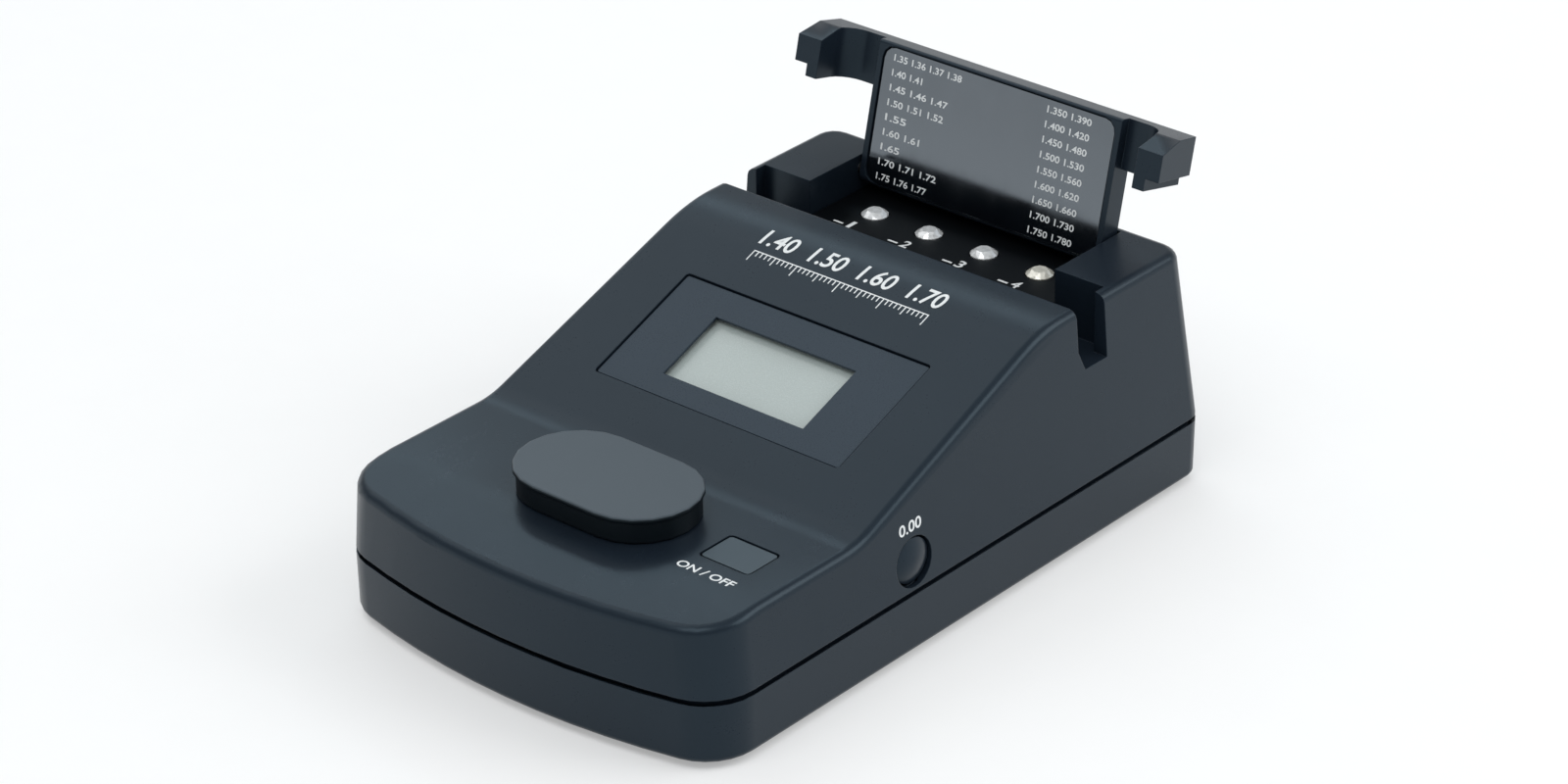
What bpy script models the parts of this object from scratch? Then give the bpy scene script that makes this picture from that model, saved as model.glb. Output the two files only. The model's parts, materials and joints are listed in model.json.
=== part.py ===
"""An electronic refractometer for gemstones, in separate pieces.

All lengths are in metres. The housing is measured in its own frame: X across, from its middle plane,
Y back from the foremost point of its front, and Z up from its flat bottom.
"""
import math

import bmesh
import bpy
from mathutils import Vector

# Clearances between pieces that touch on the real instrument, and the overrun of a cut past a face.
SEAT_GAP = 0.0003
BUTTON_GAP = 0.0004
CUT_OVERRUN = 0.004
MERGE_DISTANCE = 0.000003

# The housing as a whole.
CASE_WIDTH = 0.084
CASE_LENGTH = 0.1332
CASE_HEIGHT = 0.0437
PARTING_HEIGHT = 0.0113
PARTING_GROOVE = 0.0005
WALL = 0.0022
BOW_RADIUS = 0.147
FRONT_CORNER_RADIUS = 0.0100
REAR_CORNER_RADIUS = 0.0040
SIDE_DRAFT_SHARE = 0.083
FRONT_DRAFT_SHARE = 0.030
REAR_DRAFT_SHARE = 0.110
LOWER_DRAFT_SHARE = 0.010
TOP_FILLET = 0.0016
BOTTOM_FILLET = 0.0012
BOW_STEPS = 5
FRONT_CORNER_STEPS = 6
REAR_CORNER_STEPS = 4
FILLET_STEPS = 3

# The side view of the upper case: deck, crease, bend, slope and crest.
DECK_HEIGHT = 0.0252
DECK_FALL = 0.0013
CREASE_FROM_FRONT = 0.0170
BEND_FROM_FRONT = 0.0410
BEND_RADIUS = 0.018
CREST_FROM_REAR = 0.0427
CREST_RADIUS = 0.032
PROFILE_ARC_STEPS = 6

# The upright lip of the lower case inside the upper one.
LIP_HEIGHT = 0.0010
LIP_INSET = 0.0013

# The stone well behind the crest, the pockets at its ends and the notches through the side walls.
WELL_REAR_WALL = 0.0055
WELL_FROM_SIDE = 0.0149
WELL_DEPTH = 0.0087
POCKET_FROM_SIDE = 0.0046
POCKET_BELOW_EAR = 0.0010
NOTCH_LENGTH = 0.0076
NOTCH_CHAMFER_LENGTH = 0.0016
NOTCH_CHAMFER_HEIGHT = 0.0036
TUB_WALL = 0.0018

# The lid, in its own frame on the hinge line, closed.
HINGE_FROM_REAR = 0.0095
HINGE_BELOW_TOP = 0.0028
LID_OPEN_ANGLE = math.radians(103.7)
LID_REACH = 0.0240
LID_TAIL = 0.0024
LID_THICKNESS = 0.0042
LID_SIDE_GAP = 0.0005
LID_FRONT_GAP = 0.0005
LID_BAR_WIDTH = 0.0090
LID_BAR_THICKNESS = 0.0022
LID_TAIL_FILLET = 0.0018
LID_EDGE_FILLET = 0.0006
EAR_DEPTH = 0.0103
EAR_INNER_WIDTH = 0.0024
EAR_CORNER_LENGTH = 0.0020
EAR_CORNER_DEPTH = 0.0050
EAR_COVE_RADIUS = 0.0040
COVE_STEPS = 5
LID_EDGE_STEPS = 3
LABEL_RIM = 0.0011
LABEL_FRONT_RIM = 0.0005
LABEL_TAIL_RIM = 0.0007
LABEL_RECESS = 0.0010
LABEL_THICKNESS = 0.0004
LABEL_CORNER_RADIUS = 0.0025
PIN_RADIUS = 0.0010
PIN_IN_LID = 0.0006
PIN_IN_CASE = 0.0024

# The tray and its stones.
TRAY_THICKNESS = 0.0019
TRAY_CORNER_RADIUS = 0.0010
STONE_COUNT = 4
STONE_FROM_WELL_END = 0.0088
STONE_FROM_WELL_REAR = 0.0112
STONE_RADIUS = 0.00245
STONE_TABLE_SHARE = 0.56
STONE_CROWN_HEIGHT = 0.0008
STONE_GIRDLE_HEIGHT = 0.0002
STONE_PAVILION_HEIGHT = 0.0013
STONE_PROUD = 0.0009
STONE_SIDES = 16

# The display, in its own frame on the slope: X across, Y up the slope, Z out of the slope.
PANEL_WIDTH = 0.0531
PANEL_LENGTH = 0.0252
PANEL_BELOW_MIDDLE = 0.0013
PANEL_THICKNESS = 0.0005
PANEL_RECESS = 0.0011
PANEL_CORNER_RADIUS = 0.0004
LCD_VIEW_WIDTH = 0.0308
LCD_VIEW_LENGTH = 0.0146
LCD_VIEW_FROM_EDGE = 0.0046
LCD_WIDTH = 0.0360
LCD_LENGTH = 0.0200
LCD_THICKNESS = 0.0022
LCD_BELOW_PANEL = 0.0006
HOLDER_WALL = 0.0014
HOLDER_BEHIND_LCD = 0.0005
DISPLAY_BOARD_WIDTH = 0.0530
DISPLAY_BOARD_LENGTH = 0.0270
BOARD_THICKNESS = 0.0016
DISPLAY_SCREW_INSET = 0.0028

# The oval light shield, its post, and the measuring plate under it.
SHIELD_LENGTH = 0.0350
SHIELD_WIDTH = 0.0216
SHIELD_HEIGHT = 0.0047
SHIELD_FROM_FRONT = 0.0266
SHIELD_ROOF = 0.0013
SHIELD_RIM_HEIGHT = 0.0012
SHIELD_RIM_OVERHANG = 0.0005
SHIELD_WALL = 0.0013
SHIELD_FILLET = 0.0005
SHIELD_ARC_STEPS = 10
DISH_DEPTH = 0.0014
DISH_MARGIN = 0.0026
POST_RADIUS = 0.0022
POST_LENGTH = 0.0165
HUB_WALL = 0.0013
HUB_HEIGHT = 0.0024
CLIP_RADIUS = 0.0036
CLIP_THICKNESS = 0.0008
NECK_SHARE = 0.75
SHIELD_LIFT = 0.0050
PLATE_RADIUS = 0.0070
PLATE_THICKNESS = 0.0010
APERTURE_RADIUS = 0.0016
APERTURE_RIM = 0.0005
WINDOW_THICKNESS = 0.0006

# The optics below the plate.
OPTICS_WIDTH = 0.0140
OPTICS_LENGTH = 0.0100
OPTICS_BORE_RADIUS = 0.0019
OPTICS_BORE_SPACING = 0.0064
EMITTER_RADIUS = 0.0015
EMITTER_LENGTH = 0.0052
EMITTER_FLANGE_HEIGHT = 0.0010

# The power button on the deck and its switch.
POWER_OFF_MIDDLE = 0.00185
POWER_FROM_FRONT = 0.0268
POWER_WIDTH = 0.0100
POWER_LENGTH = 0.0075
POWER_CORNER_RADIUS = 0.0006
POWER_FLANGE = 0.0010
POWER_FLANGE_THICKNESS = 0.0010
POWER_STEM_RADIUS = 0.0016
POWER_TRAVEL = 0.0008
BUTTON_SUNK = 0.0001

# The calibration button on the right side and its switch.
CALIBRATION_FROM_FRONT = 0.0540
CALIBRATION_HEIGHT = 0.0168
CALIBRATION_RADIUS = 0.0041
CALIBRATION_DOME = 0.0010
CALIBRATION_DOME_STEPS = 4
CALIBRATION_PROUD = 0.0004
CALIBRATION_FLANGE = 0.0009
CALIBRATION_FLANGE_THICKNESS = 0.0009
CALIBRATION_TRAVEL = 0.0007
CALIBRATION_BOARD_FROM_SIDE = 0.0135
CALIBRATION_BOARD_WIDTH = 0.0100
CALIBRATION_BOARD_TOP = 0.0215

# Push switches.
SWITCH_WIDTH = 0.0060
SWITCH_HEIGHT = 0.0035
SWITCH_STEM_RADIUS = 0.0016
SWITCH_STEM_OUT = 0.0012
SWITCH_STEM_IN = 0.0014

# The main board and what stands on it.
BOARD_UNDERSIDE = 0.0084
BOARD_FROM_SIDE = 0.0100
BOARD_FROM_FRONT = 0.0185
BOARD_TO_BAY = 0.0015
BOARD_SCREW_X = 0.0190
BOARD_SCREW_INSET = 0.0035
BOARD_CORNER_RADIUS = 0.0015
CHIP_WIDTH = 0.0100
CHIP_THICKNESS = 0.0014
CHIP_FROM_BOARD_SIDE = 0.0130
CHIP_FROM_BOARD_REAR = 0.0147
BUZZER_RADIUS = 0.0060
BUZZER_HEIGHT = 0.0065
BUZZER_HOLE_RADIUS = 0.0010
BUZZER_HOLE_DEPTH = 0.0020
BUZZER_X = 0.0140
BUZZER_FROM_BOARD_REAR = 0.0098
SOCKET_WIDTH = 0.0150
SOCKET_LENGTH = 0.0040
SOCKET_HEIGHT = 0.0030
SOCKET_FROM_BOARD_REAR = 0.0065
SOCKET_SLOT = 0.0012
SOCKET_SLOT_FLOOR = 0.0010
RIBBON_WIDTH = 0.0110
RIBBON_THICKNESS = 0.0004

# Small screws and the posts they enter.
SMALL_HEAD_RADIUS = 0.0020
SMALL_HEAD_HEIGHT = 0.0013
SMALL_SHANK_RADIUS = 0.0009
SMALL_SHANK_LENGTH = 0.0042
SMALL_POST_RADIUS = 0.0027
CASE_HEAD_RADIUS = 0.0026
CASE_HEAD_HEIGHT = 0.0020
CASE_SHANK_RADIUS = 0.0014
CASE_SHANK_LENGTH = 0.0130
CASE_POST_RADIUS = 0.0040
CASE_SCREW_FROM_SIDE = 0.0054
CASE_SCREW_FROM_FRONT = 0.0135
CASE_SCREW_FROM_REAR = 0.0097
COUNTERBORE_DEPTH = 0.0050
DRIVE_RADIUS = 0.0009
DRIVE_DEPTH = 0.0008
DRIVE_SIDES = 6
SCREW_SIDES = 12

# Feet, cells and the battery door.
FOOT_RADIUS = 0.0030
FOOT_PROUD = 0.0012
FOOT_SUNK = 0.0008
FOOT_FILLET = 0.0004
FOOT_FROM_SIDE = 0.0048
FOOT_FROM_FRONT = 0.0260
FOOT_FROM_REAR = 0.0232
FOOT_SIDES = 24
LOWER_FLOOR = 0.0032
CELL_COUNT = 3
CELL_RADIUS = 0.00715
CELL_LENGTH = 0.0495
CELL_TIP_RADIUS = 0.0026
CELL_TIP_LENGTH = 0.0010
CELL_SHOULDER = 0.0006
CELL_GAP = 0.0005
CELL_SIDES = 20
BAY_FROM_REAR = 0.0055
BAY_WALL = 0.0014
BAY_WALL_TOP = 0.0108
CONTACT_THICKNESS = 0.0004
CONTACT_HEIGHT = 0.0110
CONTACT_BUMP_RADIUS = 0.0030
CONTACT_BUMP_LENGTH = 0.0007
DOOR_THICKNESS = 0.0020
DOOR_HALF_WIDTH = 0.0250
DOOR_LAP = 0.0020
DOOR_RAIL = 0.0011
DOOR_RAIL_THICKNESS = 0.0008
DOOR_GRIP_COUNT = 4
DOOR_GRIP_PITCH = 0.0018
DOOR_GRIP_DEPTH = 0.0004
DOOR_GRIP_WIDTH = 0.0160
DOOR_GRIP_FROM_REAR = 0.0090

ROUND_SIDES = 24
SMALL_SIDES = 16
ANGLE_OF_EDGES = math.radians(35)
ANGLE_OF_SMOOTH = math.radians(32)

# Values that follow from the ones above: the side view and the panel's place on the slope.
CREST_FROM_FRONT = CASE_LENGTH - CREST_FROM_REAR
SLOPE_RUN = CREST_FROM_FRONT - BEND_FROM_FRONT
SLOPE_RISE = (CASE_HEIGHT - DECK_HEIGHT) / SLOPE_RUN
SLOPE_ANGLE = math.atan(SLOPE_RISE)
PANEL_ABOVE_BEND = (SLOPE_RUN / math.cos(SLOPE_ANGLE) - PANEL_LENGTH) / 2 - PANEL_BELOW_MIDDLE
PANEL_FROM_FRONT = BEND_FROM_FRONT + PANEL_ABOVE_BEND * math.cos(SLOPE_ANGLE)
PANEL_HEIGHT = DECK_HEIGHT + PANEL_ABOVE_BEND * math.sin(SLOPE_ANGLE)

# The hinge line, the lid under it, and the well that leaves room for the lid's swing.
HINGE_FROM_FRONT = CASE_LENGTH - HINGE_FROM_REAR
HINGE_HEIGHT = CASE_HEIGHT - HINGE_BELOW_TOP
LID_TOP = HINGE_BELOW_TOP
LID_INSIDE = LID_TOP - LID_THICKNESS
EAR_BOTTOM = LID_TOP - EAR_DEPTH
BAR_SWING = math.sqrt((LID_REACH - LID_BAR_WIDTH) ** 2 - LID_TOP ** 2)
WELL_FRONT = HINGE_FROM_FRONT - LID_REACH - LID_FRONT_GAP
WELL_BAR_REAR = HINGE_FROM_FRONT - BAR_SWING + SEAT_GAP
WELL_REAR = CASE_LENGTH - WELL_REAR_WALL
WELL_HALF_WIDTH = CASE_WIDTH / 2 - WELL_FROM_SIDE
WELL_FLOOR_HEIGHT = CASE_HEIGHT - WELL_DEPTH
POCKET_HALF_WIDTH = CASE_WIDTH / 2 - POCKET_FROM_SIDE
POCKET_FLOOR_HEIGHT = CASE_HEIGHT - EAR_DEPTH - POCKET_BELOW_EAR
LID_HALF_WIDTH = WELL_HALF_WIDTH - LID_SIDE_GAP
STONE_ROW_FROM_FRONT = WELL_REAR - STONE_FROM_WELL_REAR
STONE_PITCH = 2 * (WELL_HALF_WIDTH - STONE_FROM_WELL_END) / (STONE_COUNT - 1)

# What lies under the oval shield.
SHIELD_RADIUS = SHIELD_WIDTH / 2
SHIELD_HALF_RUN = SHIELD_LENGTH / 2 - SHIELD_RADIUS
POST_X = -SHIELD_HALF_RUN
APERTURE_X = SHIELD_HALF_RUN
DISH_FLOOR_HEIGHT = DECK_HEIGHT - DISH_DEPTH

# The battery bay at the rear and the main board in front of it.
CELL_AXIS_HEIGHT = DOOR_THICKNESS + 2 * SEAT_GAP + CELL_RADIUS
CELL_PITCH = 2 * CELL_RADIUS + CELL_GAP
BAY_HALF_WIDTH = CELL_COUNT * CELL_PITCH / 2
CONTACT_ROOM = 2 * SEAT_GAP + CONTACT_THICKNESS + CONTACT_BUMP_LENGTH
BAY_REAR = CASE_LENGTH - BAY_FROM_REAR
BAY_FRONT = BAY_REAR - CELL_LENGTH - 2 * CONTACT_ROOM
DOOR_FRONT = BAY_FRONT - DOOR_LAP
BOARD_WIDTH = CASE_WIDTH - 2 * BOARD_FROM_SIDE
BOARD_REAR = BAY_FRONT - BAY_WALL - BOARD_TO_BAY
BOARD_TOP = BOARD_UNDERSIDE + BOARD_THICKNESS
CHIP_X = CHIP_FROM_BOARD_SIDE - BOARD_WIDTH / 2
CHIP_FROM_FRONT = BOARD_REAR - CHIP_FROM_BOARD_REAR
BUZZER_FROM_FRONT = BOARD_REAR - BUZZER_FROM_BOARD_REAR
SOCKET_FROM_FRONT = BOARD_REAR - SOCKET_FROM_BOARD_REAR

# What keeps its distance from the sides. The power button lies between the shield's end and the side.
POWER_X = (SHIELD_LENGTH / 2 + CASE_WIDTH / 2) / 2 - POWER_OFF_MIDDLE
CALIBRATION_BOARD_X = CASE_WIDTH / 2 - CALIBRATION_BOARD_FROM_SIDE
CASE_SCREW_X = CASE_WIDTH / 2 - CASE_SCREW_FROM_SIDE
FOOT_X = CASE_WIDTH / 2 - FOOT_FROM_SIDE


def start_scene():
    """Empties the scene and gives it one collection for the pieces and one for the cutters."""
    for thing in list(bpy.data.objects):
        bpy.data.objects.remove(thing)
    for name in ("Refractometer", "Cutters"):
        bpy.context.scene.collection.children.link(bpy.data.collections.new(name))


def finish_of(name, colour, roughness, metallic=0.0):
    """A plain material with the piece's colour, roughness and metallic value."""
    material = bpy.data.materials.get(name) or bpy.data.materials.new(name)
    material.use_nodes = True
    shader = material.node_tree.nodes["Principled BSDF"]
    shader.inputs["Base Color"].default_value = (*colour, 1.0)
    shader.inputs["Roughness"].default_value = roughness
    shader.inputs["Metallic"].default_value = metallic
    return material


def case_plastic():
    return finish_of("case_plastic", (0.045, 0.061, 0.075), 0.55)


def panel_plastic():
    return finish_of("panel_plastic", (0.063, 0.078, 0.095), 0.45)


def black_plastic():
    return finish_of("black_plastic", (0.008, 0.009, 0.011), 0.50)


def label_gloss():
    return finish_of("label_gloss", (0.020, 0.023, 0.030), 0.12)


def lcd_grey():
    return finish_of("lcd_grey", (0.47, 0.54, 0.52), 0.25)


def white_plastic():
    return finish_of("white_plastic", (0.72, 0.72, 0.70), 0.50)


def board_green():
    return finish_of("board_green", (0.02, 0.16, 0.07), 0.45)


def steel():
    return finish_of("steel", (0.60, 0.60, 0.61), 0.30, 1.0)


def window_glass():
    return finish_of("window_glass", (0.75, 0.80, 0.82), 0.05)


def stone_clear():
    return finish_of("stone_clear", (0.90, 0.91, 0.92), 0.03)


def led_lens():
    return finish_of("led_lens", (0.14, 0.08, 0.16), 0.10)


def foot_rubber():
    return finish_of("foot_rubber", (0.018, 0.018, 0.020), 0.85)


def cell_wrap():
    return finish_of("cell_wrap", (0.05, 0.07, 0.16), 0.35)


def cable_grey():
    return finish_of("cable_grey", (0.40, 0.41, 0.42), 0.50)


def hold(name, mesh, material, parent=None, location=(0, 0, 0), rotation=(0, 0, 0)):
    """Puts a mesh in the scene as a piece, or as a cutter if it has no material."""
    piece = bpy.data.objects.new(name, mesh)
    piece.parent = parent
    piece.location = location
    piece.rotation_euler = rotation
    bpy.data.collections["Refractometer" if material else "Cutters"].objects.link(piece)
    if material:
        mesh.materials.clear()
        mesh.materials.append(material)
        mesh.shade_smooth()
        mesh.set_sharp_from_angle(angle=ANGLE_OF_SMOOTH)
    else:
        piece.hide_render = True
        piece.display_type = "WIRE"
    return piece


def guide(name, parent=None, location=(0, 0, 0), rotation=(0, 0, 0)):
    """An empty that carries pieces."""
    empty = bpy.data.objects.new(name, None)
    empty.parent = parent
    empty.location = location
    empty.rotation_euler = rotation
    bpy.data.collections["Refractometer"].objects.link(empty)
    return empty


def block_mesh(name, low, high):
    """A box between two corners."""
    mesh = bpy.data.meshes.new(name)
    form = bmesh.new()
    bmesh.ops.create_cube(form, size=1)
    size = Vector(high) - Vector(low)
    centre = (Vector(high) + Vector(low)) / 2
    bmesh.ops.scale(form, vec=size, verts=form.verts)
    bmesh.ops.translate(form, vec=centre, verts=form.verts)
    form.to_mesh(mesh)
    form.free()
    return mesh


def round_mesh(name, radius, bottom, top, sides=ROUND_SIDES, top_radius=None):
    """A cylinder or cone along Z between two heights."""
    mesh = bpy.data.meshes.new(name)
    form = bmesh.new()
    bmesh.ops.create_cone(
        form,
        cap_ends=True,
        segments=sides,
        radius1=radius,
        radius2=radius if top_radius is None else top_radius,
        depth=top - bottom,
    )
    bmesh.ops.translate(form, vec=(0, 0, (top + bottom) / 2), verts=form.verts)
    form.to_mesh(mesh)
    form.free()
    return mesh


def flat_mesh(name, outline, bottom, top):
    """A flat outline in X and Y, filled between two heights."""
    curve = bpy.data.curves.new(name, "CURVE")
    curve.dimensions = "2D"
    curve.fill_mode = "BOTH"
    curve.extrude = (top - bottom) / 2
    spline = curve.splines.new("POLY")
    spline.points.add(len(outline) - 1)
    for point, (x, y) in zip(spline.points, outline):
        point.co = (x, y, 0, 1)
    spline.use_cyclic_u = True
    drawn = bpy.data.objects.new(name, curve)
    bpy.context.scene.collection.objects.link(drawn)
    evaluated = drawn.evaluated_get(bpy.context.evaluated_depsgraph_get())
    mesh = bpy.data.meshes.new_from_object(evaluated)
    bpy.data.objects.remove(drawn)
    bpy.data.curves.remove(curve)
    form = bmesh.new()
    form.from_mesh(mesh)
    bmesh.ops.remove_doubles(form, verts=form.verts, dist=MERGE_DISTANCE)
    bmesh.ops.translate(form, vec=(0, 0, (top + bottom) / 2), verts=form.verts)
    form.normal_update()
    bmesh.ops.recalc_face_normals(form, faces=form.faces)
    form.to_mesh(mesh)
    form.free()
    return mesh


def turned(name, profile, material, parent, location, rotation=(0, 0, 0), sides=ROUND_SIDES, ring=False):
    """A piece turned round Z from a profile down its outer side, closed on itself for a ring."""
    mesh = bpy.data.meshes.new(name)
    edges = [(i, i + 1) for i in range(len(profile) - 1)]
    if ring:
        edges.append((len(profile) - 1, 0))
    mesh.from_pydata([(radius, 0, height) for radius, height in profile], edges, [])
    piece = hold(name, mesh, material, parent, location, rotation)
    screw = piece.modifiers.new("Turn", "SCREW")
    screw.steps = sides
    screw.render_steps = sides
    screw.use_merge_vertices = True
    screw.merge_threshold = MERGE_DISTANCE
    screw.use_smooth_shade = True
    return piece


def combine(piece, other, operation="DIFFERENCE"):
    """Cuts a piece with another, joins it to it or keeps what they share."""
    boolean = piece.modifiers.new(f"{operation.title()} {other.name}", "BOOLEAN")
    boolean.operation = operation
    boolean.solver = "EXACT"
    boolean.object = other


def soften(piece, width, segments=2):
    """Rounds the sharp edges of a piece."""
    bevel = piece.modifiers.new("Soften", "BEVEL")
    bevel.width = width
    bevel.segments = segments
    bevel.limit_method = "ANGLE"
    bevel.angle_limit = ANGLE_OF_EDGES


def arc(centre_x, centre_y, radius, start, end, steps):
    """Points along a round stretch, both ends included."""
    angles = [start + (end - start) * i / steps for i in range(steps + 1)]
    return [(centre_x + radius * math.cos(a), centre_y + radius * math.sin(a)) for a in angles]


def rounded_rectangle(width, length, radius, steps=3, centre=(0, 0)):
    """The outline of a rectangle with round corners."""
    across = width / 2 - radius
    along = length / 2 - radius
    turn = math.pi / 2
    outline = []
    for i, (side_x, side_y) in enumerate(((1, 1), (-1, 1), (-1, -1), (1, -1))):
        corner = (centre[0] + side_x * across, centre[1] + side_y * along)
        outline += arc(*corner, radius, i * turn, (i + 1) * turn, steps)
    return outline


def oval(half_run, radius, steps=SHIELD_ARC_STEPS):
    """The outline of an oval with two straight sides along X."""
    quarter = math.pi / 2
    right = arc(half_run, 0, radius, -quarter, quarter, steps)
    left = arc(-half_run, 0, radius, quarter, 3 * quarter, steps)
    return right + left


def rounded_path(corners, radii, steps):
    """A line through corners, each rounded by its radius where that isn't zero."""
    path = []
    for i, (corner, radius) in enumerate(zip(corners, radii)):
        here = Vector(corner)
        if radius == 0:
            path.append(tuple(here))
            continue
        back = (Vector(corners[i - 1]) - here).normalized()
        ahead = (Vector(corners[i + 1]) - here).normalized()
        half = back.angle(ahead) / 2
        middle = here + (back + ahead).normalized() * radius / math.sin(half)
        first = here + back * radius / math.tan(half) - middle
        turn = math.pi - 2 * half
        sign = 1 if ahead.cross(back) > 0 else -1
        start = math.atan2(first.y, first.x)
        path += arc(middle.x, middle.y, radius, start, start + sign * turn, steps)
    return path


def housing_section(height, inset, upper):
    """The plan of the housing at a height: bowed front, round corners and straight drafted sides."""
    rise = height - PARTING_HEIGHT if upper else 0
    fall = PARTING_HEIGHT - height if not upper else 0
    side = CASE_WIDTH / 2 - rise * SIDE_DRAFT_SHARE - fall * LOWER_DRAFT_SHARE - inset
    front = rise * FRONT_DRAFT_SHARE + fall * LOWER_DRAFT_SHARE
    rear = CASE_LENGTH - rise * REAR_DRAFT_SHARE - fall * LOWER_DRAFT_SHARE - inset
    corner = FRONT_CORNER_RADIUS - inset
    bow = BOW_RADIUS - inset
    bow_centre = front + BOW_RADIUS
    corner_y = bow_centre - math.sqrt((bow - corner) ** 2 - (side - corner) ** 2)
    tangent = math.atan2(side - corner, bow_centre - corner_y)
    quarter = math.pi / 2
    rear_corner = REAR_CORNER_RADIUS - inset
    right = arc(0, bow_centre, bow, -quarter, tangent - quarter, BOW_STEPS)[:-1]
    right += arc(side - corner, corner_y, corner, tangent - quarter, 0, FRONT_CORNER_STEPS)
    right += arc(side - rear_corner, rear - rear_corner, rear_corner, 0, quarter, REAR_CORNER_STEPS)
    left = [(-x, y) for x, y in reversed(right[1:])]
    return right + left


def housing_form(name, levels, upper):
    """A closed form through plans of the housing at several heights, each with its inset."""
    mesh = bpy.data.meshes.new(name)
    form = bmesh.new()
    rings = []
    for height, inset in levels:
        outline = housing_section(height, inset, upper)
        rings.append([form.verts.new((x, y, height)) for x, y in outline])
    count = len(rings[0])
    for low, high in zip(rings, rings[1:]):
        for i in range(count):
            after = (i + 1) % count
            form.faces.new((low[i], low[after], high[after], high[i]))
    form.faces.new(list(reversed(rings[0])))
    form.faces.new(rings[-1])
    form.to_mesh(mesh)
    form.free()
    return mesh


def roof_outline(drop):
    """The side view under the roof line, dropped square to the roof by a wall's thickness."""
    shift = drop * math.tan(SLOPE_ANGLE / 2)
    front_height = DECK_HEIGHT - DECK_FALL - DECK_FALL * CUT_OVERRUN / CREASE_FROM_FRONT
    corners = [
        (-CUT_OVERRUN, -CUT_OVERRUN),
        (CASE_LENGTH + CUT_OVERRUN, -CUT_OVERRUN),
        (CASE_LENGTH + CUT_OVERRUN, CASE_HEIGHT - drop),
        (CREST_FROM_FRONT + shift, CASE_HEIGHT - drop),
        (BEND_FROM_FRONT + shift, DECK_HEIGHT - drop),
        (CREASE_FROM_FRONT, DECK_HEIGHT - drop),
        (-CUT_OVERRUN, front_height - drop),
    ]
    radii = [0, 0, 0, CREST_RADIUS - drop, BEND_RADIUS + drop, 0, 0]
    return rounded_path(corners, radii, PROFILE_ARC_STEPS)


def across(name, outline, half_width, middle=0.0):
    """A cutter with a side view's outline in Y and Z, carried across X."""
    mesh = flat_mesh(name, outline, middle - half_width, middle + half_width)
    form = bmesh.new()
    form.from_mesh(mesh)
    for vert in form.verts:
        vert.co = (vert.co.z, vert.co.x, vert.co.y)
    form.to_mesh(mesh)
    form.free()
    return mesh


def case_screw_places():
    rows = (CASE_SCREW_FROM_FRONT, CASE_LENGTH - CASE_SCREW_FROM_REAR)
    return [(side * CASE_SCREW_X, row) for row in rows for side in (-1, 1)]


def board_screw_places():
    rows = (BOARD_FROM_FRONT + BOARD_SCREW_INSET, BOARD_REAR - BOARD_SCREW_INSET)
    return [(side * BOARD_SCREW_X, row) for row in rows for side in (-1, 1)]


def display_middle():
    """The middle of the display's view, measured up the slope from the panel's lower edge."""
    return LCD_VIEW_FROM_EDGE + LCD_VIEW_LENGTH / 2


def display_screw_places():
    half = DISPLAY_BOARD_WIDTH / 2 - DISPLAY_SCREW_INSET
    reach = DISPLAY_BOARD_LENGTH / 2 - DISPLAY_SCREW_INSET
    return [(x * half, display_middle() + y * reach) for y in (-1, 1) for x in (-1, 1)]


def foot_places():
    rows = (FOOT_FROM_FRONT, CASE_LENGTH - FOOT_FROM_REAR)
    return [(side * FOOT_X, row) for row in rows for side in (-1, 1)]


def tub_forms(case):
    """What stays solid round the well: a tub under the bar, a deeper one at each end, and one behind."""
    top = CASE_HEIGHT + CUT_OVERRUN
    pocket_bottom = POCKET_FLOOR_HEIGHT - TUB_WALL
    side = CASE_WIDTH / 2
    inner = WELL_HALF_WIDTH - TUB_WALL
    forms = []
    for name, low, high in (
        ("tub_left", (-side, WELL_FRONT - TUB_WALL, pocket_bottom), (-inner, WELL_BAR_REAR + TUB_WALL, top)),
        ("tub_right", (inner, WELL_FRONT - TUB_WALL, pocket_bottom), (side, WELL_BAR_REAR + TUB_WALL, top)),
        (
            "tub_middle",
            (-WELL_HALF_WIDTH - TUB_WALL, WELL_FRONT - TUB_WALL, WELL_FLOOR_HEIGHT - TUB_WALL),
            (WELL_HALF_WIDTH + TUB_WALL, CASE_LENGTH, top),
        ),
    ):
        forms.append(hold(name, block_mesh(name, low, high), None, case))
    return forms


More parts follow.
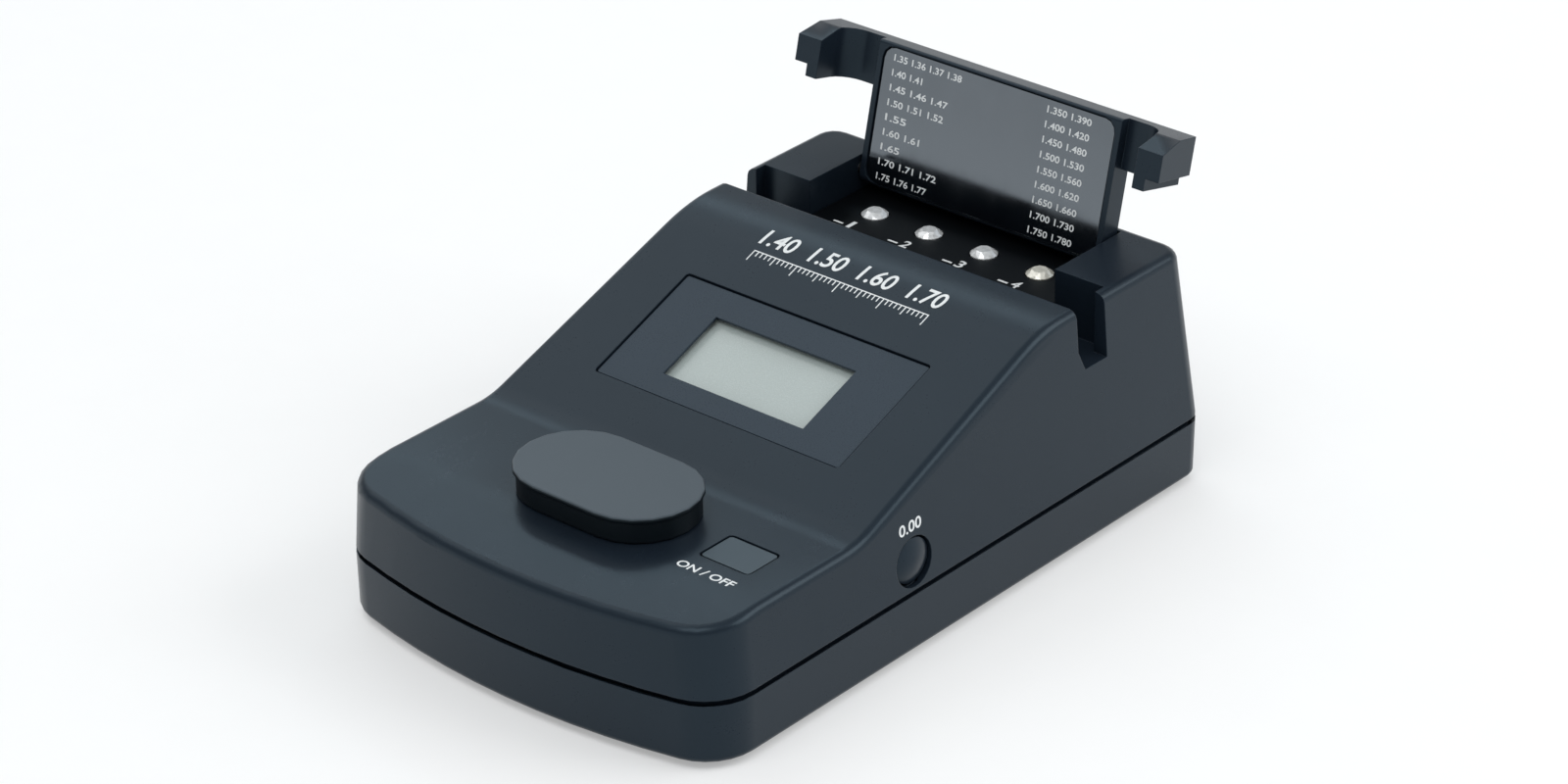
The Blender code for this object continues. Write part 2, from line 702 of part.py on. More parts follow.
def upper_cavity(case, slope):
    """The hollow of the upper case, with what stands in it left out: tubs, posts and the sleeve."""
    low = PARTING_HEIGHT - CUT_OVERRUN
    levels = ((low, WALL), (CASE_HEIGHT + CUT_OVERRUN, WALL))
    cavity = hold("upper_cavity", housing_form("upper_cavity", levels, True), None, case)
    roof = across("cavity_roof", roof_outline(WALL), CASE_WIDTH)
    combine(cavity, hold("cavity_roof", roof, None, case), "INTERSECT")
    for tub in tub_forms(case):
        combine(cavity, tub)
    for i, (x, y) in enumerate(case_screw_places()):
        post = round_mesh("screw_post", CASE_POST_RADIUS, PARTING_HEIGHT + SEAT_GAP, CASE_HEIGHT, SMALL_SIDES)
        combine(cavity, hold(f"screw_post_{i}", post, None, case, (x, y, 0)))
    sleeve_low = clip_top() + SHIELD_LIFT + SEAT_GAP
    sleeve = round_mesh("sleeve", POST_RADIUS + SEAT_GAP + HUB_WALL, sleeve_low, DECK_HEIGHT, ROUND_SIDES)
    combine(cavity, hold("sleeve", sleeve, None, case, (POST_X, SHIELD_FROM_FRONT, 0)))
    dish = flat_mesh(
        "dish_floor",
        oval(SHIELD_HALF_RUN, SHIELD_RADIUS - DISH_MARGIN + WALL),
        DISH_FLOOR_HEIGHT - WALL,
        DECK_HEIGHT,
    )
    combine(cavity, hold("dish_floor", dish, None, case, (0, SHIELD_FROM_FRONT, 0)))
    for i, (x, y) in enumerate(display_screw_places()):
        foot = display_board_top() + SEAT_GAP
        post = round_mesh("display_post", SMALL_POST_RADIUS - SEAT_GAP, foot, 0, SMALL_SIDES)
        combine(cavity, hold(f"display_post_{i}", post, None, slope, (x, y, 0)))
    return cavity


def post_bottom():
    """How high the lower end of the shield's post hangs."""
    return DECK_HEIGHT + SEAT_GAP + SHIELD_HEIGHT - SHIELD_ROOF - SEAT_GAP - POST_LENGTH


def clip_top():
    """How high the clip's upper face is, which meets the sleeve when the shield is lifted."""
    return post_bottom() + 2 * CLIP_THICKNESS


def display_board_top():
    """How far the display board's face lies under the slope, as a height below zero."""
    lcd_bottom = lcd_top() - LCD_THICKNESS
    return lcd_bottom - SEAT_GAP - HOLDER_BEHIND_LCD - SEAT_GAP


def lcd_top():
    return -PANEL_RECESS + SEAT_GAP - LCD_BELOW_PANEL - SEAT_GAP


def cut_well(piece, case):
    """Opens the well, its end pockets and the notches through the side walls."""
    top = CASE_HEIGHT + CUT_OVERRUN
    half = WELL_HALF_WIDTH
    rear = block_mesh("well_rear", (-half, WELL_FRONT, WELL_FLOOR_HEIGHT), (half, WELL_REAR, top))
    combine(piece, hold("well_rear", rear, None, case))
    for side, name in ((-1, "pocket_left"), (1, "pocket_right")):
        ends = sorted((side * (half - 2 * SEAT_GAP), side * POCKET_HALF_WIDTH))
        low = (ends[0], WELL_FRONT, POCKET_FLOOR_HEIGHT)
        high = (ends[1], WELL_BAR_REAR, top)
        combine(piece, hold(name, block_mesh(name, low, high), None, case))
        notch_rear = WELL_FRONT + NOTCH_LENGTH
        outline = [
            (WELL_FRONT, top),
            (WELL_FRONT, POCKET_FLOOR_HEIGHT + NOTCH_CHAMFER_HEIGHT),
            (WELL_FRONT + NOTCH_CHAMFER_LENGTH, POCKET_FLOOR_HEIGHT),
            (notch_rear, POCKET_FLOOR_HEIGHT),
            (notch_rear, top),
        ]
        middle = side * (POCKET_HALF_WIDTH + CASE_WIDTH / 2) / 2
        reach = (CASE_WIDTH / 2 - POCKET_HALF_WIDTH) / 2 + CUT_OVERRUN
        notch = across("notch", outline, reach, middle)
        combine(piece, hold(f"notch_{name}", notch, None, case))
    bore = round_mesh("pin_bore", PIN_RADIUS + SEAT_GAP, -half - PIN_IN_CASE, half + PIN_IN_CASE)
    location = (0, HINGE_FROM_FRONT, HINGE_HEIGHT)
    combine(piece, hold("pin_bore", bore, None, case, location, (0, math.pi / 2, 0)))


def cut_display(piece, slope):
    """Sinks the panel's recess into the slope and opens the roof behind it for the display."""
    middle = (0, PANEL_LENGTH / 2)
    width = PANEL_WIDTH + 2 * SEAT_GAP
    length = PANEL_LENGTH + 2 * SEAT_GAP
    outline = rounded_rectangle(width, length, PANEL_CORNER_RADIUS + SEAT_GAP, centre=middle)
    recess = flat_mesh("panel_recess", outline, -PANEL_RECESS, CUT_OVERRUN)
    combine(piece, hold("panel_recess", recess, None, slope))
    half_x = LCD_WIDTH / 2 + SEAT_GAP
    half_y = LCD_LENGTH / 2 + SEAT_GAP
    low = (-half_x, display_middle() - half_y, -CUT_OVERRUN)
    high = (half_x, display_middle() + half_y, CUT_OVERRUN)
    combine(piece, hold("lcd_opening", block_mesh("lcd_opening", low, high), None, slope))
    for i, (x, y) in enumerate(display_screw_places()):
        bottom = display_board_top() - CUT_OVERRUN
        top = display_board_top() + SMALL_SHANK_LENGTH - BOARD_THICKNESS
        hole = round_mesh("display_pilot", SMALL_SHANK_RADIUS + SEAT_GAP, bottom, top, SCREW_SIDES)
        combine(piece, hold(f"display_pilot_{i}", hole, None, slope, (x, y, 0)))


def cut_deck(piece, case):
    """Opens the deck for the dish, the post, the measuring plate and the power button."""
    centre = (0, SHIELD_FROM_FRONT, 0)
    top = DECK_HEIGHT + CUT_OVERRUN
    dish = flat_mesh("dish", oval(SHIELD_HALF_RUN, SHIELD_RADIUS - DISH_MARGIN), DISH_FLOOR_HEIGHT, top)
    combine(piece, hold("dish", dish, None, case, centre))
    bottom = clip_top() + SHIELD_LIFT - CUT_OVERRUN
    bore = round_mesh("post_bore", POST_RADIUS + SEAT_GAP, bottom, top)
    combine(piece, hold("post_bore", bore, None, case, (POST_X, SHIELD_FROM_FRONT, 0)))
    seat = round_mesh("plate_seat", PLATE_RADIUS + SEAT_GAP, DISH_FLOOR_HEIGHT - PLATE_THICKNESS, top)
    combine(piece, hold("plate_seat", seat, None, case, (APERTURE_X, SHIELD_FROM_FRONT, 0)))
    eye_radius = PLATE_RADIUS - 2 * APERTURE_RIM - SEAT_GAP
    eye = round_mesh("plate_eye", eye_radius, DISH_FLOOR_HEIGHT - WALL - CUT_OVERRUN, top)
    combine(piece, hold("plate_eye", eye, None, case, (APERTURE_X, SHIELD_FROM_FRONT, 0)))
    width = POWER_WIDTH + 2 * BUTTON_GAP
    length = POWER_LENGTH + 2 * BUTTON_GAP
    outline = rounded_rectangle(width, length, POWER_CORNER_RADIUS + BUTTON_GAP)
    opening = flat_mesh("power_opening", outline, DECK_HEIGHT - WALL - CUT_OVERRUN, top)
    combine(piece, hold("power_opening", opening, None, case, (POWER_X, POWER_FROM_FRONT, 0)))


def make_upper_case(case, slope):
    """The upper shell: drafted sides under a side view with deck, slope and crest, hollowed from below."""
    levels = ((0, 0), (CASE_HEIGHT + CUT_OVERRUN, 0))
    shell = hold("upper_case", housing_form("upper_case", levels, True), case_plastic(), case)
    roof = hold("case_roof", across("case_roof", roof_outline(0), CASE_WIDTH), None, case)
    combine(shell, roof, "INTERSECT")
    soften(shell, TOP_FILLET, FILLET_STEPS)
    under = block_mesh(
        "below_parting",
        (-CASE_WIDTH, -CASE_LENGTH, -CASE_HEIGHT),
        (CASE_WIDTH, 2 * CASE_LENGTH, PARTING_HEIGHT + PARTING_GROOVE / 2),
    )
    combine(shell, hold("below_parting", under, None, case))
    combine(shell, upper_cavity(case, slope))
    rebate_levels = (
        (PARTING_HEIGHT - CUT_OVERRUN, LIP_INSET - SEAT_GAP),
        (PARTING_HEIGHT + LIP_HEIGHT + SEAT_GAP, LIP_INSET - SEAT_GAP),
    )
    combine(shell, hold("lip_rebate", housing_form("lip_rebate", rebate_levels, False), None, case))
    cut_well(shell, case)
    cut_display(shell, slope)
    cut_deck(shell, case)
    bore = round_mesh("side_bore", CALIBRATION_RADIUS + BUTTON_GAP, 0, CASE_WIDTH / 2 + CUT_OVERRUN)
    start = CASE_WIDTH / 2 - WALL - 2 * CUT_OVERRUN
    location = (start, CALIBRATION_FROM_FRONT, CALIBRATION_HEIGHT)
    combine(shell, hold("side_bore", bore, None, case, location, (0, math.pi / 2, 0)))
    top = COUNTERBORE_DEPTH + CASE_SHANK_LENGTH + SEAT_GAP
    for i, (x, y) in enumerate(case_screw_places()):
        pilot = round_mesh("case_pilot", CASE_SHANK_RADIUS + SEAT_GAP, 0, top, SCREW_SIDES)
        combine(shell, hold(f"case_pilot_{i}", pilot, None, case, (x, y, 0)))


def lower_cavity(case):
    """The hollow of the lower case, less its screw posts and the walls of the battery bay."""
    levels = ((LOWER_FLOOR, WALL), (PARTING_HEIGHT + LIP_HEIGHT + CUT_OVERRUN, WALL))
    cavity = hold("lower_cavity", housing_form("lower_cavity", levels, False), None, case)
    for i, (x, y) in enumerate(case_screw_places()):
        post = round_mesh("lower_post", CASE_POST_RADIUS, 0, CASE_HEIGHT, SMALL_SIDES)
        combine(cavity, hold(f"lower_post_{i}", post, None, case, (x, y, 0)))
    for i, (x, y) in enumerate(board_screw_places()):
        post = round_mesh("board_post", SMALL_POST_RADIUS, 0, BOARD_UNDERSIDE - SEAT_GAP, SMALL_SIDES)
        combine(cavity, hold(f"board_post_{i}", post, None, case, (x, y, 0)))
    half = BAY_HALF_WIDTH + SEAT_GAP
    outer = block_mesh(
        "bay_outer",
        (-half - BAY_WALL, BAY_FRONT - BAY_WALL, 0),
        (half + BAY_WALL, BAY_REAR + BAY_WALL, BAY_WALL_TOP),
    )
    bay = hold("bay_outer", outer, None, case)
    combine(cavity, bay)
    return cavity


def make_lower_case(case):
    """The lower shell: a shallow tray with an inner lip, a battery bay and a slot for the sliding door."""
    fillet = BOTTOM_FILLET
    edge = math.pi / 2 / FILLET_STEPS
    levels = [
        (fillet * (1 - math.cos(edge * i)), fillet * (1 - math.sin(edge * i))) for i in range(FILLET_STEPS + 1)
    ]
    levels.append((PARTING_HEIGHT - PARTING_GROOVE / 2, 0))
    shell = hold("lower_case", housing_form("lower_case", levels, False), case_plastic(), case)
    lip_levels = ((LOWER_FLOOR, LIP_INSET), (PARTING_HEIGHT + LIP_HEIGHT, LIP_INSET))
    lip = hold("lip", housing_form("lip", lip_levels, False), None, case)
    combine(shell, lip, "UNION")
    combine(shell, lower_cavity(case))
    half = BAY_HALF_WIDTH + SEAT_GAP
    top = BAY_WALL_TOP + CUT_OVERRUN
    bay = block_mesh("bay", (-half, BAY_FRONT, -CUT_OVERRUN), (half, BAY_REAR, top))
    combine(shell, hold("bay", bay, None, case))
    rear = CASE_LENGTH + CUT_OVERRUN
    reach = DOOR_HALF_WIDTH + SEAT_GAP
    low = (-reach, DOOR_FRONT - SEAT_GAP, -CUT_OVERRUN)
    high = (reach, rear, DOOR_THICKNESS + SEAT_GAP)
    combine(shell, hold("door_slot", block_mesh("door_slot", low, high), None, case))
    rail = reach + DOOR_RAIL
    low = (-rail, DOOR_FRONT - SEAT_GAP, DOOR_THICKNESS - DOOR_RAIL_THICKNESS - SEAT_GAP)
    high = (rail, rear, DOOR_THICKNESS + SEAT_GAP)
    combine(shell, hold("rail_slot", block_mesh("rail_slot", low, high), None, case))
    for i, (x, y) in enumerate(foot_places()):
        seat = round_mesh("foot_seat", FOOT_RADIUS + SEAT_GAP, -CUT_OVERRUN, FOOT_SUNK, FOOT_SIDES)
        combine(shell, hold(f"foot_seat_{i}", seat, None, case, (x, y, 0)))
    for i, (x, y) in enumerate(case_screw_places()):
        sink = round_mesh("screw_sink", CASE_HEAD_RADIUS + SEAT_GAP, -CUT_OVERRUN, COUNTERBORE_DEPTH, SMALL_SIDES)
        combine(shell, hold(f"screw_sink_{i}", sink, None, case, (x, y, 0)))
        hole = round_mesh("screw_hole", CASE_SHANK_RADIUS + SEAT_GAP, 0, CASE_HEIGHT, SCREW_SIDES)
        combine(shell, hold(f"screw_hole_{i}", hole, None, case, (x, y, 0)))
    for i, (x, y) in enumerate(board_screw_places()):
        bottom = BOARD_TOP - SMALL_SHANK_LENGTH
        hole = round_mesh("board_pilot", SMALL_SHANK_RADIUS + SEAT_GAP, bottom, BOARD_TOP, SCREW_SIDES)
        combine(shell, hold(f"board_pilot_{i}", hole, None, case, (x, y, 0)))


def make_screw(name, radius, height, shank, length, material, parent, location, rotation=(0, 0, 0)):
    """A round-headed screw whose shank points up, with a six-sided drive in its head."""
    profile = ((0, length), (shank, length), (shank, 0), (radius, 0), (radius, -height), (0, -height))
    screw = turned(name, profile, material, parent, location, rotation, SCREW_SIDES)
    drive = round_mesh("drive", DRIVE_RADIUS, -height - CUT_OVERRUN, DRIVE_DEPTH - height, DRIVE_SIDES)
    combine(screw, hold(f"drive_{name}", drive, None, parent, location, rotation))


def make_fasteners_and_feet(case):
    """Four long screws from below, four board screws from above and four rubber feet."""
    for i, (x, y) in enumerate(case_screw_places()):
        make_screw(
            f"case_screw_{i + 1}", CASE_HEAD_RADIUS, CASE_HEAD_HEIGHT, CASE_SHANK_RADIUS, CASE_SHANK_LENGTH,
            steel(), case, (x, y, COUNTERBORE_DEPTH - SEAT_GAP),
        )
    for i, (x, y) in enumerate(board_screw_places()):
        shank = SMALL_SHANK_LENGTH - SEAT_GAP
        make_screw(
            f"board_screw_{i + 1}", SMALL_HEAD_RADIUS, SMALL_HEAD_HEIGHT, SMALL_SHANK_RADIUS, shank,
            steel(), case, (x, y, BOARD_TOP + SEAT_GAP), (math.pi, 0, 0),
        )
    for i, (x, y) in enumerate(foot_places()):
        top = FOOT_SUNK - SEAT_GAP
        slant = FOOT_RADIUS - FOOT_FILLET
        profile = (
            (0, top), (FOOT_RADIUS, top), (FOOT_RADIUS, FOOT_FILLET - FOOT_PROUD), (slant, -FOOT_PROUD),
            (0, -FOOT_PROUD),
        )
        turned(f"rubber_foot_{i + 1}", profile, foot_rubber(), case, (x, y, 0), sides=FOOT_SIDES)


def make_display(slope):
    """The inset panel, the display behind its opening, its holder and its own small board."""
    middle = display_middle()
    floor = -PANEL_RECESS + SEAT_GAP
    outline = rounded_rectangle(PANEL_WIDTH, PANEL_LENGTH, PANEL_CORNER_RADIUS, centre=(0, PANEL_LENGTH / 2))
    mesh = flat_mesh("display_panel", outline, floor, floor + PANEL_THICKNESS)
    panel = hold("display_panel", mesh, panel_plastic(), slope)
    low = (-LCD_VIEW_WIDTH / 2, LCD_VIEW_FROM_EDGE, -CUT_OVERRUN)
    high = (LCD_VIEW_WIDTH / 2, LCD_VIEW_FROM_EDGE + LCD_VIEW_LENGTH, CUT_OVERRUN)
    combine(panel, hold("view_opening", block_mesh("view_opening", low, high), None, slope))
    top = lcd_top()
    half_x = LCD_WIDTH / 2
    half_y = LCD_LENGTH / 2
    glass = block_mesh(
        "lcd_glass", (-half_x, middle - half_y, top - LCD_THICKNESS), (half_x, middle + half_y, top)
    )
    hold("lcd_glass", glass, lcd_grey(), slope)
    around = SEAT_GAP + HOLDER_WALL
    under = display_board_top() + SEAT_GAP
    rim_top = -WALL - SEAT_GAP
    low = (-half_x - around, middle - half_y - around, under)
    high = (half_x + around, middle + half_y + around, rim_top)
    holder = hold("lcd_holder", block_mesh("lcd_holder", low, high), white_plastic(), slope)
    low = (-half_x - SEAT_GAP, middle - half_y - SEAT_GAP, under + HOLDER_BEHIND_LCD)
    high = (half_x + SEAT_GAP, middle + half_y + SEAT_GAP, 0)
    combine(holder, hold("holder_room", block_mesh("holder_room", low, high), None, slope))
    board_top = display_board_top()
    outline = rounded_rectangle(
        DISPLAY_BOARD_WIDTH, DISPLAY_BOARD_LENGTH, BOARD_CORNER_RADIUS, centre=(0, middle)
    )
    mesh = flat_mesh("display_board", outline, board_top - BOARD_THICKNESS, board_top)
    board = hold("display_board", mesh, board_green(), slope)
    for i, (x, y) in enumerate(display_screw_places()):
        hole = round_mesh(
            "display_hole", SMALL_SHANK_RADIUS + SEAT_GAP, board_top - CUT_OVERRUN, board_top + CUT_OVERRUN,
            SCREW_SIDES,
        )
        combine(board, hold(f"display_hole_{i}", hole, None, slope, (x, y, 0)))
        location = (x, y, board_top - BOARD_THICKNESS - SEAT_GAP)
        shank = SMALL_SHANK_LENGTH - SEAT_GAP
        make_screw(
            f"display_screw_{i + 1}", SMALL_HEAD_RADIUS, SMALL_HEAD_HEIGHT, SMALL_SHANK_RADIUS, shank,
            steel(), slope, location,
        )


def make_main_board(case):
    """The main board with its chip, buzzer and the socket for the ribbon."""
    middle = (0, (BOARD_FROM_FRONT + BOARD_REAR) / 2)
    outline = rounded_rectangle(BOARD_WIDTH, BOARD_REAR - BOARD_FROM_FRONT, BOARD_CORNER_RADIUS, centre=middle)
    mesh = flat_mesh("main_board", outline, BOARD_UNDERSIDE, BOARD_TOP)
    board = hold("main_board", mesh, board_green(), case)
    for i, (x, y) in enumerate(board_screw_places()):
        hole = round_mesh("board_hole", SMALL_SHANK_RADIUS + SEAT_GAP, 0, CASE_HEIGHT, SCREW_SIDES)
        combine(board, hold(f"board_hole_{i}", hole, None, case, (x, y, 0)))
    seat = BOARD_TOP + SEAT_GAP
    half = CHIP_WIDTH / 2
    low = (CHIP_X - half, CHIP_FROM_FRONT - half, seat)
    high = (CHIP_X + half, CHIP_FROM_FRONT + half, seat + CHIP_THICKNESS)
    hold("controller_chip", block_mesh("controller_chip", low, high), black_plastic(), case)
    profile = (
        (0, BUZZER_HEIGHT - BUZZER_HOLE_DEPTH), (BUZZER_HOLE_RADIUS, BUZZER_HEIGHT - BUZZER_HOLE_DEPTH),
        (BUZZER_HOLE_RADIUS, BUZZER_HEIGHT), (BUZZER_RADIUS, BUZZER_HEIGHT), (BUZZER_RADIUS, 0), (0, 0),
    )
    turned("buzzer", profile, black_plastic(), case, (BUZZER_X, BUZZER_FROM_FRONT, seat))
    low = (-SOCKET_WIDTH / 2, SOCKET_FROM_FRONT - SOCKET_LENGTH / 2, seat)
    high = (SOCKET_WIDTH / 2, SOCKET_FROM_FRONT + SOCKET_LENGTH / 2, seat + SOCKET_HEIGHT)
    socket = hold("ribbon_socket", block_mesh("ribbon_socket", low, high), white_plastic(), case)
    half_x = RIBBON_WIDTH / 2 + SEAT_GAP
    low = (-half_x, SOCKET_FROM_FRONT - SOCKET_SLOT / 2, seat + SOCKET_SLOT_FLOOR)
    high = (half_x, SOCKET_FROM_FRONT + SOCKET_SLOT / 2, seat + SOCKET_HEIGHT + CUT_OVERRUN)
    combine(socket, hold("ribbon_slot", block_mesh("ribbon_slot", low, high), None, case))


def make_ribbon(case):
    """The flat ribbon from the display board down to its socket, as one strip with rounded bends."""
    board_low = display_board_top() - BOARD_THICKNESS - SEAT_GAP - RIBBON_THICKNESS / 2
    along = Vector((math.cos(SLOPE_ANGLE), math.sin(SLOPE_ANGLE)))
    out = Vector((-math.sin(SLOPE_ANGLE), math.cos(SLOPE_ANGLE)))
    corner = Vector((PANEL_FROM_FRONT, PANEL_HEIGHT))
    start = corner + along * display_middle() + out * board_low
    bottom = BOARD_TOP + SEAT_GAP + SOCKET_HEIGHT / 2
    bend_at = start + along * ((SOCKET_FROM_FRONT - start.x) / along.x)
    middle_line = [tuple(start), tuple(bend_at), (SOCKET_FROM_FRONT, bottom)]
    half = RIBBON_THICKNESS / 2
    first = []
    second = []
    for i, point in enumerate(middle_line):
        here = Vector(point)
        back = (here - Vector(middle_line[i - 1])).normalized() if i else None
        ahead = (Vector(middle_line[i + 1]) - here).normalized() if i + 1 < len(middle_line) else None
        run = ((back or ahead) + (ahead or back)).normalized()
        widen = 1 / max(run.dot(ahead or back), half)
        side = Vector((-run.y, run.x)) * half * widen
        first.append(tuple(here + side))
        second.append(tuple(here - side))
    outline = first + list(reversed(second))
    hold("ribbon_cable", across("ribbon_cable", outline, RIBBON_WIDTH / 2), cable_grey(), case)


def make_optics(case):
    """The measuring plate with its window, and the block that aims the emitter and the detector at it."""
    place = (APERTURE_X, SHIELD_FROM_FRONT, DISH_FLOOR_HEIGHT)
    bottom = -PLATE_THICKNESS + SEAT_GAP
    window_seat = SEAT_GAP - WINDOW_THICKNESS - SEAT_GAP
    neck = APERTURE_RADIUS - APERTURE_RIM
    profile = (
        (neck, window_seat), (APERTURE_RADIUS, window_seat), (APERTURE_RADIUS, SEAT_GAP),
        (PLATE_RADIUS, SEAT_GAP), (PLATE_RADIUS, bottom), (neck, bottom),
    )
    turned("measuring_plate", profile, steel(), case, place, ring=True)
    low = window_seat + SEAT_GAP
    radius = APERTURE_RADIUS - SEAT_GAP
    window = round_mesh("aperture_window", radius, low, SEAT_GAP, SMALL_SIDES)
    hold("aperture_window", window, window_glass(), case, place)
    top = DISH_FLOOR_HEIGHT - WALL - SEAT_GAP
    bottom = BOARD_TOP + SEAT_GAP
    low = (-OPTICS_WIDTH / 2, -OPTICS_LENGTH / 2, bottom)
    high = (OPTICS_WIDTH / 2, OPTICS_LENGTH / 2, top)
    here = (APERTURE_X, SHIELD_FROM_FRONT, 0)
    block = hold("optics_block", block_mesh("optics_block", low, high), black_plastic(), case, here)
    lean = math.atan2(OPTICS_BORE_SPACING / 2, top - bottom)
    aim = (APERTURE_X, SHIELD_FROM_FRONT, DISH_FLOOR_HEIGHT)
    depth = (DISH_FLOOR_HEIGHT - bottom) / math.cos(lean)
    flange_radius = OPTICS_BORE_RADIUS - SEAT_GAP
    reach = depth - SEAT_GAP - flange_radius * math.tan(lean)
    for side, name in ((-1, "infrared_led"), (1, "photodetector")):
        turn = (0, -side * lean, 0)
        bore = round_mesh("bore", OPTICS_BORE_RADIUS, -depth - CUT_OVERRUN, CUT_OVERRUN, SMALL_SIDES)
        combine(block, hold(f"bore_{name}", bore, None, case, aim, turn))
        rim = EMITTER_RADIUS
        dome = EMITTER_RADIUS / 2
        profile = (
            (0, EMITTER_LENGTH), (rim * math.sin(math.pi / 4), EMITTER_LENGTH - dome / 3),
            (rim, EMITTER_LENGTH - dome), (rim, EMITTER_FLANGE_HEIGHT), (flange_radius, EMITTER_FLANGE_HEIGHT),
            (flange_radius, 0), (0, 0),
        )
        foot = Vector((side * math.sin(lean), 0, -math.cos(lean))) * reach
        turned(name, profile, led_lens(), case, Vector(aim) + foot, turn, SMALL_SIDES)


def make_shield(case):
    """The oval cap on its post: the post lifts in the deck's sleeve, and the cap swings round the post."""
    roof = DECK_HEIGHT + SEAT_GAP + SHIELD_HEIGHT
    hub_top = roof - SHIELD_ROOF
    pivot = guide("shield_pivot", case, (POST_X, SHIELD_FROM_FRONT, 0))
    body_radius = SHIELD_RADIUS - SHIELD_RIM_OVERHANG
    outline = [(x - POST_X, y) for x, y in oval(SHIELD_HALF_RUN, SHIELD_RADIUS)]
    rim = flat_mesh("light_shield", outline, roof - SHIELD_RIM_HEIGHT, roof)
    cap = hold("light_shield", rim, case_plastic(), pivot)
    soften(cap, SHIELD_FILLET)
    outline = [(x - POST_X, y) for x, y in oval(SHIELD_HALF_RUN, body_radius)]
    wall_top = roof - SHIELD_RIM_HEIGHT / 2
    wall = hold("cap_wall", flat_mesh("cap_wall", outline, DECK_HEIGHT + SEAT_GAP, wall_top), None, pivot)
    combine(cap, wall, "UNION")
    outline = [(x - POST_X, y) for x, y in oval(SHIELD_HALF_RUN, body_radius - SHIELD_WALL)]
    combine(cap, hold("cap_room", flat_mesh("cap_room", outline, 0, hub_top), None, pivot))
    hub_radius = POST_RADIUS + SEAT_GAP + HUB_WALL
    hub = round_mesh("cap_hub", hub_radius, hub_top - HUB_HEIGHT, hub_top + SHIELD_ROOF / 2)
    combine(cap, hold("cap_hub", hub, None, pivot), "UNION")
    socket = round_mesh("hub_bore", POST_RADIUS + SEAT_GAP, 0, hub_top)
    combine(cap, hold("hub_bore", socket, None, pivot))
    top = hub_top - SEAT_GAP
    low = post_bottom()
    groove_top = clip_top() + SEAT_GAP
    groove_low = clip_top() - CLIP_THICKNESS - SEAT_GAP
    neck = POST_RADIUS * NECK_SHARE
    profile = (
        (0, top), (POST_RADIUS, top), (POST_RADIUS, groove_top), (neck, groove_top), (neck, groove_low),
        (POST_RADIUS, groove_low), (POST_RADIUS, low), (0, low),
    )
    turned("shield_post", profile, steel(), pivot, (0, 0, 0))
    inner = neck + SEAT_GAP
    bottom = clip_top() - CLIP_THICKNESS
    profile = ((inner, clip_top()), (CLIP_RADIUS, clip_top()), (CLIP_RADIUS, bottom), (inner, bottom))
    turned("shield_clip", profile, steel(), pivot, (0, 0, 0), ring=True)


def make_switch(name, parent, location, rotation=(0, 0, 0)):
    """A small push switch with its face up, and its stem as a piece of its own."""
    half = SWITCH_WIDTH / 2
    body = block_mesh(name, (-half, -half, 0), (half, half, SWITCH_HEIGHT))
    switch = hold(name, body, black_plastic(), parent, location, rotation)
    bottom = SWITCH_HEIGHT - SWITCH_STEM_IN
    well = round_mesh(
        "stem_well", SWITCH_STEM_RADIUS + SEAT_GAP, bottom - SWITCH_STEM_OUT, SWITCH_HEIGHT + CUT_OVERRUN,
        SMALL_SIDES,
    )
    combine(switch, hold(f"stem_well_{name}", well, None, parent, location, rotation))
    stem = round_mesh(
        f"{name}_stem", SWITCH_STEM_RADIUS, bottom + SEAT_GAP, SWITCH_HEIGHT + SWITCH_STEM_OUT, SMALL_SIDES
    )
    hold(f"{name}_stem", stem, white_plastic(), parent, location, rotation)


def make_power_button(case):
    """The flush button in the deck: a cap, a flange that stops it under the deck, and a stem."""
    place = (POWER_X, POWER_FROM_FRONT, 0)
    top = DECK_HEIGHT - BUTTON_SUNK
    flange_top = DECK_HEIGHT - WALL - SEAT_GAP
    outline = rounded_rectangle(POWER_WIDTH, POWER_LENGTH, POWER_CORNER_RADIUS)
    cap = flat_mesh("power_button", outline, flange_top - POWER_FLANGE_THICKNESS / 2, top)
    button = hold("power_button", cap, panel_plastic(), case, place)
    outline = rounded_rectangle(
        POWER_WIDTH + 2 * BUTTON_GAP + 2 * POWER_FLANGE, POWER_LENGTH + 2 * BUTTON_GAP + 2 * POWER_FLANGE,
        POWER_CORNER_RADIUS,
    )
    flange = flat_mesh("power_flange", outline, flange_top - POWER_FLANGE_THICKNESS, flange_top)
    combine(button, hold("power_flange", flange, None, case, place), "UNION")
    seat = BOARD_TOP + SEAT_GAP
    stem_low = seat + SWITCH_HEIGHT + SWITCH_STEM_OUT + SEAT_GAP
    stem = round_mesh("power_stem", POWER_STEM_RADIUS, stem_low, flange_top, SMALL_SIDES)
    combine(button, hold("power_stem", stem, None, case, place), "UNION")
    make_switch("power_switch", case, (POWER_X, POWER_FROM_FRONT, seat))


